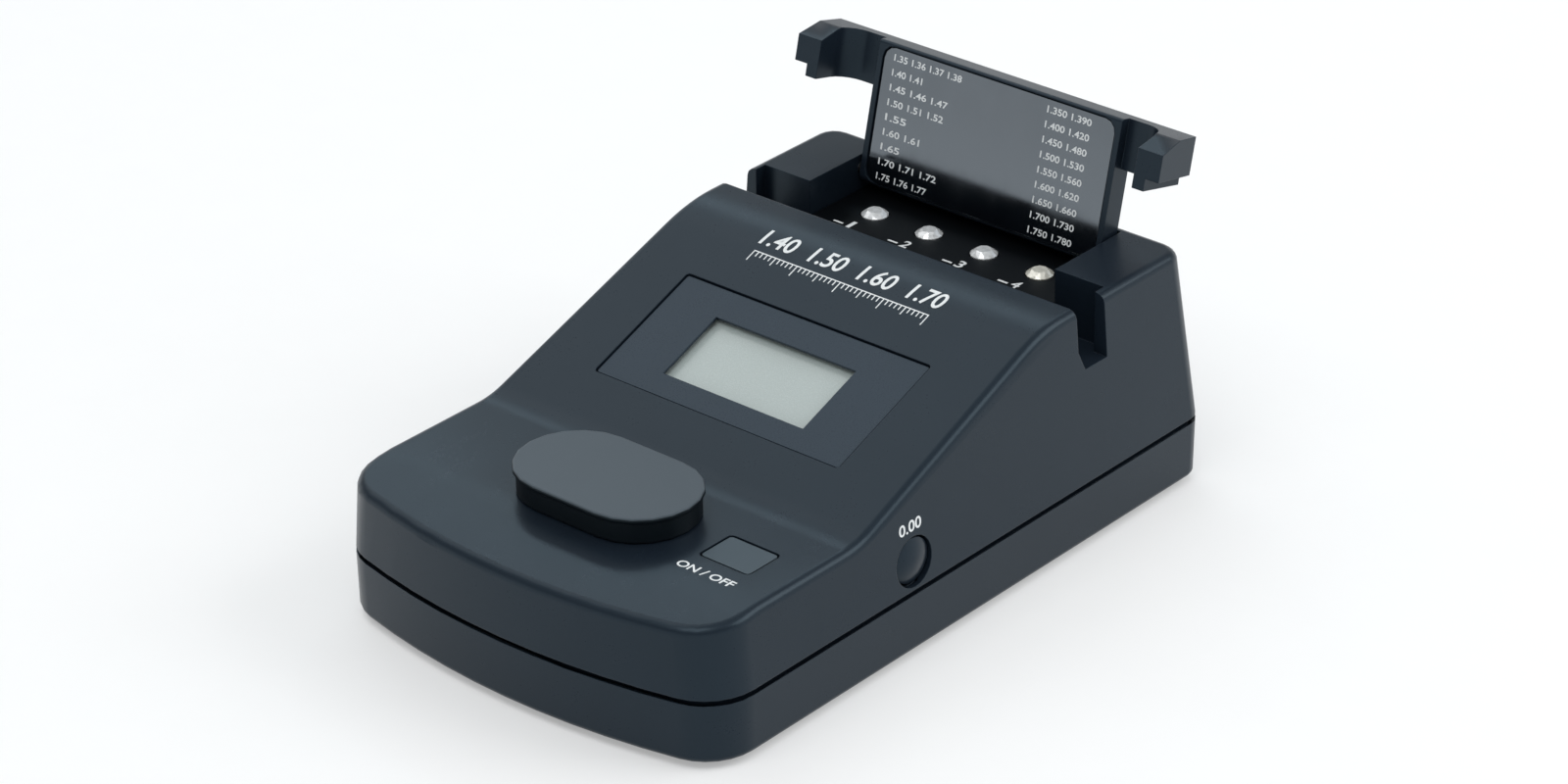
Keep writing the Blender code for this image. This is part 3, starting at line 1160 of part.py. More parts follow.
def make_calibration_button(case):
    """The round button in the right side: a shallow dome, a flange behind the wall, and its switch."""
    rise = CALIBRATION_HEIGHT - PARTING_HEIGHT
    outside = CASE_WIDTH / 2 - rise * SIDE_DRAFT_SHARE
    high_rise = rise + CALIBRATION_RADIUS + BUTTON_GAP + CALIBRATION_FLANGE
    inside = CASE_WIDTH / 2 - high_rise * SIDE_DRAFT_SHARE - WALL
    base = outside + CALIBRATION_PROUD - CALIBRATION_DOME
    sphere = (CALIBRATION_RADIUS ** 2 + CALIBRATION_DOME ** 2) / (2 * CALIBRATION_DOME)
    opening = math.asin(CALIBRATION_RADIUS / sphere)
    profile = []
    for i in range(CALIBRATION_DOME_STEPS + 1):
        angle = opening * i / CALIBRATION_DOME_STEPS
        profile.append((sphere * math.sin(angle), base + CALIBRATION_DOME - sphere * (1 - math.cos(angle))))
    flange = CALIBRATION_RADIUS + BUTTON_GAP + CALIBRATION_FLANGE
    face = inside - SEAT_GAP
    switch_face = CALIBRATION_BOARD_X + SEAT_GAP + SWITCH_HEIGHT + SWITCH_STEM_OUT + SEAT_GAP
    profile += [
        (CALIBRATION_RADIUS, face), (flange, face), (flange, face - CALIBRATION_FLANGE_THICKNESS),
        (POWER_STEM_RADIUS, face - CALIBRATION_FLANGE_THICKNESS), (POWER_STEM_RADIUS, switch_face),
        (0, switch_face),
    ]
    place = (0, CALIBRATION_FROM_FRONT, CALIBRATION_HEIGHT)
    turn = (0, math.pi / 2, 0)
    turned("calibration_button", profile, case_plastic(), case, place, turn)
    seat = (CALIBRATION_BOARD_X + SEAT_GAP, CALIBRATION_FROM_FRONT, CALIBRATION_HEIGHT)
    make_switch("calibration_switch", case, seat, turn)
    half = CALIBRATION_BOARD_WIDTH / 2
    low = (CALIBRATION_BOARD_X - BOARD_THICKNESS, CALIBRATION_FROM_FRONT - half, BOARD_TOP + SEAT_GAP)
    high = (CALIBRATION_BOARD_X, CALIBRATION_FROM_FRONT + half, CALIBRATION_BOARD_TOP)
    hold("calibration_board", block_mesh("calibration_board", low, high), board_green(), case)


def bar_outline():
    """The front view of the lid's bar: a thin plate with a deep ear at each end, joined by a cove."""
    outer = POCKET_HALF_WIDTH - SEAT_GAP
    inner = outer - EAR_INNER_WIDTH
    under = LID_TOP - LID_BAR_THICKNESS
    cove = EAR_COVE_RADIUS
    right = [(outer, LID_TOP), (outer, EAR_BOTTOM), (inner, EAR_BOTTOM)]
    right += arc(inner - cove, under - cove, cove, 0, math.pi / 2, COVE_STEPS)
    left = [(-x, z) for x, z in reversed(right)]
    return right + left


def ear_plate(name, side, hinge):
    """The outer leaf of an ear, flush with the case's side and narrower than the bar."""
    outer_low = CASE_WIDTH / 2 - (HINGE_HEIGHT + EAR_BOTTOM - PARTING_HEIGHT) * SIDE_DRAFT_SHARE - SEAT_GAP
    outer_top = CASE_WIDTH / 2 - (CASE_HEIGHT - PARTING_HEIGHT) * SIDE_DRAFT_SHARE - SEAT_GAP
    inner = POCKET_HALF_WIDTH - SEAT_GAP - EAR_INNER_WIDTH / 2
    outline = [
        (side * inner, EAR_BOTTOM), (side * outer_low, EAR_BOTTOM), (side * outer_top, LID_TOP),
        (side * inner, LID_TOP),
    ]
    near = -LID_REACH
    far = -(HINGE_FROM_FRONT - WELL_FRONT - NOTCH_LENGTH + SEAT_GAP)
    mesh = flat_mesh(name, outline, near, far)
    turn_upright(mesh)
    return hold(name, mesh, None, hinge)


def turn_upright(mesh):
    """Turns a flat mesh from X and Y, carried along Z, to X and Z, carried along Y."""
    form = bmesh.new()
    form.from_mesh(mesh)
    for vert in form.verts:
        vert.co = (vert.co.x, vert.co.z, vert.co.y)
    form.normal_update()
    bmesh.ops.recalc_face_normals(form, faces=form.faces)
    form.to_mesh(mesh)
    form.free()


def make_lid(case):
    """The T-shaped lid, leaning back on its two pins, with the chart plate in its inner face."""
    turn = (-LID_OPEN_ANGLE, 0, 0)
    hinge = guide("lid_hinge_line", case, (0, HINGE_FROM_FRONT, HINGE_HEIGHT), turn)
    tail = LID_TAIL_FILLET
    edge = LID_EDGE_FILLET
    corners = [(-LID_REACH, LID_INSIDE), (LID_TAIL, LID_INSIDE), (LID_TAIL, LID_TOP), (-LID_REACH, LID_TOP)]
    closed_path = rounded_path([corners[-1]] + corners + [corners[0]], [0, edge, tail, tail, edge, 0], LID_EDGE_STEPS)
    side_view = closed_path[1:-1]
    block = across("lid", side_view, LID_HALF_WIDTH)
    lid = hold("lid", block, case_plastic(), hinge)
    bar = flat_mesh("lid_bar", bar_outline(), -LID_REACH, LID_BAR_WIDTH - LID_REACH)
    turn_upright(bar)
    combine(lid, hold("lid_bar", bar, None, hinge), "UNION")
    for side, name in ((-1, "ear_plate_left"), (1, "ear_plate_right")):
        combine(lid, ear_plate(name, side, hinge), "UNION")
    corner = [
        (-LID_REACH - CUT_OVERRUN, EAR_BOTTOM - CUT_OVERRUN),
        (EAR_CORNER_LENGTH - LID_REACH, EAR_BOTTOM - CUT_OVERRUN),
        (EAR_CORNER_LENGTH - LID_REACH, EAR_BOTTOM),
        (-LID_REACH, EAR_BOTTOM + EAR_CORNER_DEPTH),
        (-LID_REACH - CUT_OVERRUN, EAR_BOTTOM + EAR_CORNER_DEPTH),
    ]
    combine(lid, hold("ear_corner", across("ear_corner", corner, CASE_WIDTH), None, hinge))
    front = -LID_REACH + LABEL_FRONT_RIM
    rear = LID_TAIL - LABEL_TAIL_RIM
    width = 2 * (LID_HALF_WIDTH - LABEL_RIM)
    middle = (0, (front + rear) / 2)
    radius = LABEL_CORNER_RADIUS
    recess_outline = rounded_rectangle(width, rear - front, radius, centre=middle)
    recess = flat_mesh("label_recess", recess_outline, LID_INSIDE - CUT_OVERRUN, LID_INSIDE + LABEL_RECESS)
    combine(lid, hold("label_recess", recess, None, hinge))
    gap = SEAT_GAP
    outline = rounded_rectangle(width - 2 * gap, rear - front - 2 * gap, radius - gap, centre=middle)
    top = LID_INSIDE + LABEL_RECESS - gap
    label = flat_mesh("lid_label", outline, top - LABEL_THICKNESS, top)
    hold("lid_label", label, label_gloss(), hinge)
    half = WELL_HALF_WIDTH + PIN_IN_CASE - SEAT_GAP
    for side, name in ((-1, "hinge_pin_left"), (1, "hinge_pin_right")):
        ends = sorted((side * half, side * (LID_HALF_WIDTH - PIN_IN_LID)))
        bore = round_mesh("lid_bore", PIN_RADIUS + SEAT_GAP, ends[0] - SEAT_GAP, ends[1] + SEAT_GAP, SMALL_SIDES)
        combine(lid, hold(f"bore_{name}", bore, None, hinge, (0, 0, 0), (0, math.pi / 2, 0)))
        pin = round_mesh(name, PIN_RADIUS, ends[0], ends[1], SMALL_SIDES)
        hold(name, pin, steel(), hinge, (0, 0, 0), (0, math.pi / 2, 0))


def stone_profile():
    """A round brilliant from its table down to its point."""
    table = STONE_RADIUS * STONE_TABLE_SHARE
    crown = -STONE_CROWN_HEIGHT
    girdle = crown - STONE_GIRDLE_HEIGHT
    point = girdle - STONE_PAVILION_HEIGHT
    return ((0, 0), (table, 0), (STONE_RADIUS, crown), (STONE_RADIUS, girdle), (0, point))


def stone_places():
    return [((i - (STONE_COUNT - 1) / 2) * STONE_PITCH, STONE_ROW_FROM_FRONT) for i in range(STONE_COUNT)]


def make_tray(case):
    """The black tray on the well's floor, with a round seat for each reference stone."""
    bottom = WELL_FLOOR_HEIGHT + SEAT_GAP
    top = bottom + TRAY_THICKNESS
    half = WELL_HALF_WIDTH - SEAT_GAP
    front = WELL_FRONT + SEAT_GAP
    rear = WELL_REAR - SEAT_GAP
    middle = (0, (front + rear) / 2)
    outline = rounded_rectangle(2 * half, rear - front, TRAY_CORNER_RADIUS, centre=middle)
    tray = hold("stone_tray", flat_mesh("stone_tray", outline, bottom, top), black_plastic(), case)
    table = top + STONE_PROUD
    girdle = table - STONE_CROWN_HEIGHT - STONE_GIRDLE_HEIGHT
    for i, (x, y) in enumerate(stone_places()):
        seat = round_mesh(
            "stone_seat", SEAT_GAP, girdle - STONE_PAVILION_HEIGHT - SEAT_GAP, girdle, STONE_SIDES,
            STONE_RADIUS + SEAT_GAP,
        )
        combine(tray, hold(f"stone_seat_{i}", seat, None, case, (x, y, 0)))
        mouth = round_mesh("stone_mouth", STONE_RADIUS + SEAT_GAP, girdle, top + CUT_OVERRUN, STONE_SIDES)
        combine(tray, hold(f"stone_mouth_{i}", mouth, None, case, (x, y, 0)))
        name = f"reference_stone_{i + 1}"
        turned(name, stone_profile(), stone_clear(), case, (x, y, table), sides=STONE_SIDES)


def make_cells(case):
    """Three cells side by side, the middle one turned round, between two contact strips."""
    first = BAY_FRONT + CONTACT_ROOM
    for i in range(CELL_COUNT):
        x = (i - (CELL_COUNT - 1) / 2) * CELL_PITCH
        body = CELL_LENGTH - CELL_TIP_LENGTH
        chamfer = CELL_RADIUS - CELL_SHOULDER
        profile = (
            (0, CELL_LENGTH), (CELL_TIP_RADIUS, CELL_LENGTH), (CELL_TIP_RADIUS, body), (chamfer, body),
            (CELL_RADIUS, body - CELL_SHOULDER), (CELL_RADIUS, CELL_SHOULDER), (chamfer, 0), (0, 0),
        )
        turned_round = i % 2 == 1
        y = first + CELL_LENGTH if turned_round else first
        turn = math.pi / 2 if turned_round else -math.pi / 2
        place = (x, y, CELL_AXIS_HEIGHT)
        turned(f"battery_{i + 1}", profile, cell_wrap(), case, place, (turn, 0, 0), CELL_SIDES)
    half = BAY_HALF_WIDTH
    low_z = CELL_AXIS_HEIGHT - CONTACT_HEIGHT / 2
    high_z = CELL_AXIS_HEIGHT + CONTACT_HEIGHT / 2
    for name, y, towards in (
        ("battery_contacts_front", BAY_FRONT + SEAT_GAP, 1),
        ("battery_contacts_rear", BAY_REAR - SEAT_GAP, -1),
    ):
        ends = sorted((y, y + towards * CONTACT_THICKNESS))
        mesh = block_mesh(name, (-half, ends[0], low_z), (half, ends[1], high_z))
        strip = hold(name, mesh, steel(), case)
        for i in range(CELL_COUNT):
            x = (i - (CELL_COUNT - 1) / 2) * CELL_PITCH
            bump = round_mesh(
                "bump", CONTACT_BUMP_RADIUS, 0, CONTACT_THICKNESS + CONTACT_BUMP_LENGTH, SCREW_SIDES,
                CONTACT_BUMP_RADIUS / 2,
            )
            turn = (-towards * math.pi / 2, 0, 0)
            place = (x, y + towards * CONTACT_THICKNESS / 2, CELL_AXIS_HEIGHT)
            lift = Vector((0, -towards * CONTACT_THICKNESS / 2, 0))
            bump_piece = hold(f"bump_{name}_{i}", bump, None, case, Vector(place) + lift / 2, turn)
            combine(strip, bump_piece, "UNION")


def make_door(case):
    """The battery door, which slides out backwards on two side rails, with grip ridges near its end."""
    rear = CASE_LENGTH - LOWER_DRAFT_SHARE * PARTING_HEIGHT - BOTTOM_FILLET
    half = DOOR_HALF_WIDTH
    plate = block_mesh("battery_door", (-half, DOOR_FRONT, 0), (half, rear, DOOR_THICKNESS))
    door = hold("battery_door", plate, case_plastic(), case)
    rail = half + DOOR_RAIL
    low = (-rail, DOOR_FRONT, DOOR_THICKNESS - DOOR_RAIL_THICKNESS)
    rails = block_mesh("door_rails", low, (rail, rear - CUT_OVERRUN, DOOR_THICKNESS))
    combine(door, hold("door_rails", rails, None, case), "UNION")
    for i in range(DOOR_GRIP_COUNT):
        y = rear - DOOR_GRIP_FROM_REAR + i * DOOR_GRIP_PITCH
        low = (-DOOR_GRIP_WIDTH / 2, y, -CUT_OVERRUN)
        high = (DOOR_GRIP_WIDTH / 2, y + DOOR_GRIP_PITCH / 2, DOOR_GRIP_DEPTH)
        combine(door, hold(f"grip_{i}", block_mesh("grip", low, high), None, case))


def main():
    start_scene()
    case = guide("case_frame", None, (0, -CASE_LENGTH / 2, FOOT_PROUD))
    slope = guide("slope_frame", case, (0, PANEL_FROM_FRONT, PANEL_HEIGHT), (SLOPE_ANGLE, 0, 0))
    make_upper_case(case, slope)
    make_lower_case(case)
    make_fasteners_and_feet(case)
    make_display(slope)
    make_main_board(case)
    make_ribbon(case)
    make_optics(case)
    make_shield(case)
    make_power_button(case)
    make_calibration_button(case)
    make_lid(case)
    make_tray(case)
    make_cells(case)
    make_door(case)


main()
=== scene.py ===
# %% [markdown]
# # An electronic refractometer, dressed over its solids
# The solids of the instrument come ready packed, in metres, and this lesson gives them their looks. A solid
# of flat triangles is right in shape but shades badly, so each part that shows gets a skin with smooth
# normals, and every part gets a finish made from procedural nodes.

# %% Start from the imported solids
import json
import math

import bmesh
import bpy
import numpy as np
from mathutils import Matrix, Vector


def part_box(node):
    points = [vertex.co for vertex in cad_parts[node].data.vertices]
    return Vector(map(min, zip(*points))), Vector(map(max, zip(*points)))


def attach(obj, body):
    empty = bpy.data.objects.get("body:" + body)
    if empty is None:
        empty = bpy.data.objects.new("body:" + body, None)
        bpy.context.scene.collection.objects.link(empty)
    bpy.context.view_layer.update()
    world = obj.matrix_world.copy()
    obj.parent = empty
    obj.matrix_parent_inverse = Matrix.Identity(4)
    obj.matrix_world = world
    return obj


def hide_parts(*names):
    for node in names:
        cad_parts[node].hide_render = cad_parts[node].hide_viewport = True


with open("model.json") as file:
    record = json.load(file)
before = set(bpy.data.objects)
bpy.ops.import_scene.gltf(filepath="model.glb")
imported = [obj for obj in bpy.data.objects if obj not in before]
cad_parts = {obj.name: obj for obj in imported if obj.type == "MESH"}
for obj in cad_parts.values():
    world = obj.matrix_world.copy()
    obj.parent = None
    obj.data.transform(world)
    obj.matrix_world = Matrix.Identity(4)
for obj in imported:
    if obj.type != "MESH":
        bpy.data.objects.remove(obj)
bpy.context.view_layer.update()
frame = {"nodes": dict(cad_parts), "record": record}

MM = 0.001
behaviour = frame["record"]["behaviour"]
body_of = {node: body for body, members in behaviour["bodies"].items() for node in members}
joint_of = {joint["name"]: joint for joint in behaviour["joints"]}

# %% [markdown]
# ## The camera
# The photograph was taken from the front right, a little above the lid, with a long lens: parallel edges
# hardly run together. A camera is easiest to set by the point it looks at, the direction from that point
# back to it, and its distance. The small roll is the tilt of the photographer's hand.

# %% Set the camera
VIEW_AZIMUTH = math.radians(40.84)
VIEW_ELEVATION = math.radians(28.15)
VIEW_ROLL = math.radians(-0.67)
VIEW_DISTANCE = 817.28 * MM
VIEW_TARGET = Vector((0, 3.73 * MM, 28.28 * MM))
LENS_LENGTH = 111.63
SENSOR_WIDTH = 36


def aim_camera():
    """The camera's back axis follows azimuth and elevation; right and up are turned about it by the roll."""
    level = math.cos(VIEW_ELEVATION)
    right = Vector((math.cos(VIEW_AZIMUTH), math.sin(VIEW_AZIMUTH), 0))
    back = Vector((right.y * level, -right.x * level, math.sin(VIEW_ELEVATION)))
    up = back.cross(right)
    turned_right = right * math.cos(VIEW_ROLL) + up * math.sin(VIEW_ROLL)
    turned_up = up * math.cos(VIEW_ROLL) - right * math.sin(VIEW_ROLL)
    axes = Matrix((turned_right, turned_up, back)).transposed()
    camera = bpy.data.objects.new("camera", bpy.data.cameras.new("camera"))
    camera.matrix_world = Matrix.Translation(VIEW_TARGET + back * VIEW_DISTANCE) @ axes.to_4x4()
    camera.data.lens = LENS_LENGTH
    camera.data.sensor_width = SENSOR_WIDTH
    bpy.context.scene.collection.objects.link(camera)
    bpy.context.scene.camera = camera
    return camera


print("camera at", [round(c, 3) for c in aim_camera().location])

# %% [markdown]
# ## Sums on a material's sockets
# A procedural finish is a sum of patterns. Written as nodes, a sum is hard to read, so a small class wraps a
# socket and lets plain arithmetic add the Math nodes. Every other node comes from one method that takes the
# node's type, its settings and the values or links of its sockets.


# %% Wrap a socket so that it can be reckoned with
NOISE_ROUGHNESS = 0.55
BEVEL_SAMPLES = 6
EDGE_GAIN = 6


class Value:
    """One number that varies over a surface. Arithmetic on it adds a Math node to its finish."""

    def __init__(self, finish, socket):
        self.finish = finish
        self.socket = socket

    def reckon(self, operation, first, second, clamp=False):
        """The Math node that every sum below goes through."""
        node = self.finish.node("Math", {"operation": operation, "use_clamp": clamp}, {0: first, 1: second})
        return Value(self.finish, node.outputs[0])

    def __add__(self, other):
        return self.reckon("ADD", self, other)

    def __sub__(self, other):
        return self.reckon("SUBTRACT", self, other)

    def __rsub__(self, other):
        return self.reckon("SUBTRACT", other, self)

    def __mul__(self, other):
        return self.reckon("MULTIPLY", self, other)

    def __truediv__(self, other):
        return self.reckon("DIVIDE", self, other)

    def above(self, edge):
        """1 where the value is over the edge and 0 elsewhere."""
        return self.reckon("GREATER_THAN", self, edge)

    def zigzag(self, half):
        """Rises from 0 to half and falls back, over and over, as the value grows."""
        return self.reckon("PINGPONG", self, half)

    def size(self):
        """The value without its sign."""
        return self.reckon("ABSOLUTE", self, 0.0)

    def clamped(self):
        """The value, held between 0 and 1."""
        return self.reckon("ADD", self, 0.0, clamp=True)

    __radd__ = __add__
    __rmul__ = __mul__


class Finish:
    """A material under construction: its node tree, its patterns and its shader."""

    def __init__(self, name):
        self.material = bpy.data.materials.new(name)
        self.material.use_nodes = True
        self.tree = self.material.node_tree
        self.tree.nodes.clear()
        self.place = self.node("TexCoord").outputs["Object"]

    def node(self, kind, settings=None, sockets=None):
        """Adds a node: its settings first, then the value or the link of each socket named."""
        node = self.tree.nodes.new("ShaderNode" + kind)
        for key, setting in (settings or {}).items():
            setattr(node, key, setting)
        for key, value in (sockets or {}).items():
            source = value.socket if isinstance(value, Value) else value
            if isinstance(source, bpy.types.NodeSocket):
                self.tree.links.new(source, node.inputs[key])
            else:
                node.inputs[key].default_value = source
        return node

    def noise(self, size, detail=2.0, stretch=(1, 1, 1)):
        """A cloudy value about 0.5, with blobs about as wide as size, in metres, drawn out along an axis."""
        place = self.place
        if stretch != (1, 1, 1):
            place = self.node("Mapping", {}, {"Vector": self.place, "Scale": stretch}).outputs[0]
        sockets = {"Vector": place, "Scale": 1 / size, "Detail": detail, "Roughness": NOISE_ROUGHNESS}
        return Value(self, self.node("TexNoise", {}, sockets).outputs["Fac"])

    def axis(self, name):
        """One coordinate of the surface point, in metres."""
        return Value(self, self.node("SeparateXYZ", {}, {"Vector": self.place}).outputs[name])

    def blend(self, share, first, second):
        """A colour that goes from the first to the second as the share goes from 0 to 1."""
        node = self.node("Mix", {"data_type": "RGBA"}, {"Factor": share})
        for socket, colour in ((node.inputs[6], first), (node.inputs[7], second)):
            if isinstance(colour, bpy.types.NodeSocket):
                self.tree.links.new(colour, socket)
            else:
                socket.default_value = (*colour, 1.0)
        return node.outputs[2]

    def rounded(self, radius):
        """The normal of the surface with its edges rounded by a radius, as the render sees them."""
        return self.node("Bevel", {"samples": BEVEL_SAMPLES}, {"Radius": radius}).outputs["Normal"]

    def edges(self, soft_normal):
        """1 on an edge and 0 on a face: how far the rounded normal leans from the true one."""
        true_normal = self.node("NewGeometry").outputs["Normal"]
        likeness = self.node("VectorMath", {"operation": "DOT_PRODUCT"}, {0: soft_normal, 1: true_normal})
        return ((1 - Value(self, likeness.outputs["Value"])) * EDGE_GAIN).clamped()

    def shader(self, colour, roughness, normal=None, **fixed):
        """Closes the finish with the one shader that every part here uses."""
        sockets = {"Base Color": colour, "Roughness": roughness}
        sockets.update({key.replace("_", " ").title().replace("Ior", "IOR"): fixed[key] for key in fixed})
        if normal is not None:
            sockets["Normal"] = normal
        shader = self.node("BsdfPrincipled")
        for key, value in sockets.items():
            if isinstance(value, tuple):
                shader.inputs[key].default_value = (*value, 1.0)
            elif isinstance(value, (Value, bpy.types.NodeSocket)):
                source = value.socket if isinstance(value, Value) else value
                self.tree.links.new(source, shader.inputs[key])
            else:
                shader.inputs[key].default_value = value
        self.node("OutputMaterial", {}, {"Surface": shader.outputs[0]})
        return self.material


def bumped(finish, height, depth, normal=None):
    """A normal from a height pattern, whose full swing is depth in metres."""
    sockets = {"Height": height, "Distance": depth, "Strength": 1.0}
    if normal is not None:
        sockets["Normal"] = normal
    return finish.node("Bump", {}, sockets).outputs["Normal"]


print("shader sums are ready")

# %% [markdown]
# ## Moulded plastic
# The shells are near-black blue plastic from a spark-eroded mould. Most of the grey that the eye sees on
# them is light that glances off the skin, so the colour itself is written dark and the gloss does the rest.
# The skin has fine pits, is slightly smoother where fingers have rubbed the edges, and has faint clouds
# where the plastic cooled unevenly. One function makes all the plastics, which differ in colour, gloss and
# grain. The oval cap is black on its side, and its colour turns paler at a height just under its top: the
# paler top is a painted highlight for the light that the top catches.


# %% Make a moulded plastic
COOL_GLOSS = (0.64, 0.86, 1.0)
PIT_DEPTH = 0.0035 * MM
CLOUD_SIZE = 14 * MM
SMEAR_SIZE = 5 * MM
WEAR_SIZE = 2 * MM
CLOUD_DARKER = 0.82
CLOUD_PALER = 1.20
CLOUD_LIFT = 0.001
RUBBED_PALER = 1.8
RUBBED_LIFT = 0.012


def scaled(colour, factor, lift=0.0):
    """Each part of a colour times a factor, plus a lift, and never over 1."""
    return tuple(min(1.0, part * factor + lift) for part in colour)


def moulded(name, colour, roughness, level, grain=0.35 * MM, edge=0.20 * MM, wear=0.35, painted_top=None):
    """Colour = base, or a paler colour above a height when one is given (a painted highlight), paler in
    clouds and on worn edges. Roughness = base, varied by smears, pits and wear."""
    finish = Finish(name)
    clouds = finish.noise(CLOUD_SIZE, 3.0)
    smears = finish.noise(SMEAR_SIZE, 4.0, (1.0, 0.45, 1.0))
    pits = finish.noise(grain, 2.0)
    specks = finish.noise(grain / 3, 1.0)
    soft = finish.rounded(edge)
    patches = (finish.noise(WEAR_SIZE, 3.0) * 1.6 - 0.3).clamped()
    worn = (finish.edges(soft) * patches * wear).clamped()
    tone = (clouds * 0.5 + pits * 0.3 + specks * 0.2).clamped()
    darker = scaled(colour, CLOUD_DARKER)
    paler = scaled(colour, CLOUD_PALER, CLOUD_LIFT)
    rubbed = scaled(colour, RUBBED_PALER, RUBBED_LIFT)
    body_colour = finish.blend(tone, darker, paler)
    # Painted highlight: above the given height the colour turns paler, in place of the light that a top
    # catches.
    if painted_top:
        highlight_height, highlight_colour = painted_top
        body_colour = finish.blend(finish.axis("Z").above(highlight_height), body_colour, highlight_colour)
    full_colour = finish.blend(worn, body_colour, rubbed)
    gloss = (smears * 0.045 + pits * 0.08 + (roughness - 0.06) - worn * 0.08).clamped()
    normal = bumped(finish, pits * 0.7 + specks * 0.3, PIT_DEPTH, soft)
    return finish.shader(full_colour, gloss, normal, ior=1.5, specular_ior_level=level,
                         specular_tint=COOL_GLOSS)


print("a moulded plastic can be made")

# %% Make the six plastics
# The cap's paler top is a painted highlight: its colour is lighter above a height just under its top.
CAP_HIGHLIGHT_DEPTH = 0.30 * MM
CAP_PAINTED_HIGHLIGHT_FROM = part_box("light_shield")[1].z - CAP_HIGHLIGHT_DEPTH
CAP_PAINTED_HIGHLIGHT_COLOUR = (0.0600, 0.0720, 0.0840)
case_plastic = moulded("case_plastic_finish", (0.0080, 0.0130, 0.0205), 0.29, 0.295)
button_plastic = moulded("button_plastic_finish", (0.0260, 0.0330, 0.0400), 0.46, 0.95, grain=0.26 * MM)
# The cap's finish: near-black, with the painted highlight on its top.
cap_plastic_painted_top = moulded("cap_plastic_finish", (0.0020, 0.0034, 0.0050), 0.36, 0.30, grain=0.26 * MM,
                      painted_top=(CAP_PAINTED_HIGHLIGHT_FROM, CAP_PAINTED_HIGHLIGHT_COLOUR))
panel_plastic = moulded("panel_plastic_finish", (0.0150, 0.0225, 0.0340), 0.28, 0.345, grain=0.22 * MM)
black_plastic = moulded("black_plastic_finish", (0.0014, 0.0017, 0.0024), 0.34, 0.22, grain=0.30 * MM)
white_plastic = moulded("white_plastic_finish", (0.62, 0.62, 0.59), 0.42, 0.50, wear=0.10)
plastics = (case_plastic, button_plastic, cap_plastic_painted_top, panel_plastic, black_plastic, white_plastic)
print("plastics:", [plastic.name for plastic in plastics])

# %% [markdown]
# ## Metals, boards, cells and rubber
# These parts hide inside or underneath, and show when the door slides out or the cap is swung away. Turned
# and rolled steel has fine lines along the way it was worked; a circuit board has copper tracks under a
# green film; a cell has a printed sleeve; a rubber foot is dull and a little dusty. Each of these could be
# an image, but a pattern worked out from noise and saw-teeth stays sharp at any distance and needs no file.


# %% Make the steel
ROLLING_LINES = 0.5 * MM
TARNISH_SIZE = 3 * MM
STEEL_EDGE = 0.08 * MM
LINE_RELIEF = 0.004 * MM


def brushed_steel():
    """Fine stretched noise for the rolling lines, a broad cloud for the tarnish."""
    finish = Finish("steel_finish")
    lines = finish.noise(ROLLING_LINES, 2.0, (0.12, 4.0, 4.0))
    tarnish = finish.noise(TARNISH_SIZE, 3.0)
    soft = finish.rounded(STEEL_EDGE)
    colour = finish.blend((lines * 0.6 + tarnish * 0.4).clamped(), (0.48, 0.48, 0.49), (0.70, 0.70, 0.70))
    rough = (lines * 0.18 + tarnish * 0.12 + 0.14).clamped()
    return finish.shader(colour, rough, bumped(finish, lines, LINE_RELIEF, soft), metallic=1.0)


steel = brushed_steel()
print(steel.name)

# %% Make the circuit board
TRACK_PITCH = 1.3 * MM
TRACK_REGION = 7 * MM
WEAVE_SIZE = 0.25 * MM
TRACK_RELIEF = 0.03 * MM
BOARD_EDGE = 0.1 * MM


def circuit_board():
    """Tracks are stripes of a saw-tooth in X or Y, as a coarse noise says; the weave shows between."""
    finish = Finish("circuit_board_finish")
    across_line = (finish.axis("X") / TRACK_PITCH).zigzag(0.5).above(0.34)
    along_line = (finish.axis("Y") / TRACK_PITCH).zigzag(0.5).above(0.36)
    region = finish.noise(TRACK_REGION, 1.0).above(0.5)
    tracks = (across_line * region + along_line * (1 - region)).clamped()
    weave = finish.noise(WEAVE_SIZE, 2.0, (1.0, 3.0, 1.0))
    film = finish.blend(weave, (0.004, 0.060, 0.028), (0.010, 0.100, 0.045))
    colour = finish.blend(tracks * 0.75, film, (0.035, 0.210, 0.075))
    rough = (weave * 0.12 + 0.28 - tracks * 0.06).clamped()
    normal = bumped(finish, tracks * 0.7 + weave * 0.3, TRACK_RELIEF, finish.rounded(BOARD_EDGE))
    return finish.shader(colour, rough, normal)


board_green = circuit_board()
print(board_green.name)

# %% Make the cell's sleeve
MIDDLE_CELL_WIDTH = 15 * MM
COPPER_STARTS = 0.74
TIP_STARTS = 0.982
SCUFF_SIZE = 1.8 * MM
SCUFF_RELIEF = 0.006 * MM
CELL_EDGE = 0.15 * MM


def cell_sleeve():
    """A dark blue sleeve with a coppery end, told apart by how far along Y the point lies in its cell. The
    middle cell lies the other way round."""
    finish = Finish("cell_wrap_finish")
    low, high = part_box("battery_1")
    share = (finish.axis("Y") - low.y) / (high.y - low.y)
    middle_cell = 1 - (finish.axis("X") / MIDDLE_CELL_WIDTH).size().above(0.5)
    outer_copper = share.above(COPPER_STARTS) * (1 - middle_cell)
    copper = outer_copper + (1 - share).above(COPPER_STARTS) * middle_cell
    tips = share.above(TIP_STARTS) + (1 - share).above(TIP_STARTS)
    scuffs = finish.noise(SCUFF_SIZE, 4.0)
    sleeve = finish.blend(scuffs, (0.010, 0.018, 0.060), (0.018, 0.030, 0.085))
    banded = finish.blend(copper.clamped(), sleeve, (0.55, 0.27, 0.10))
    colour = finish.blend(tips.clamped(), banded, (0.62, 0.62, 0.62))
    rough = (scuffs * 0.22 + 0.16).clamped()
    normal = bumped(finish, scuffs, SCUFF_RELIEF, finish.rounded(CELL_EDGE))
    return finish.shader(colour, rough, normal, metallic=tips.clamped() * 0.9)


sleeve_print = cell_sleeve()
print(sleeve_print.name)

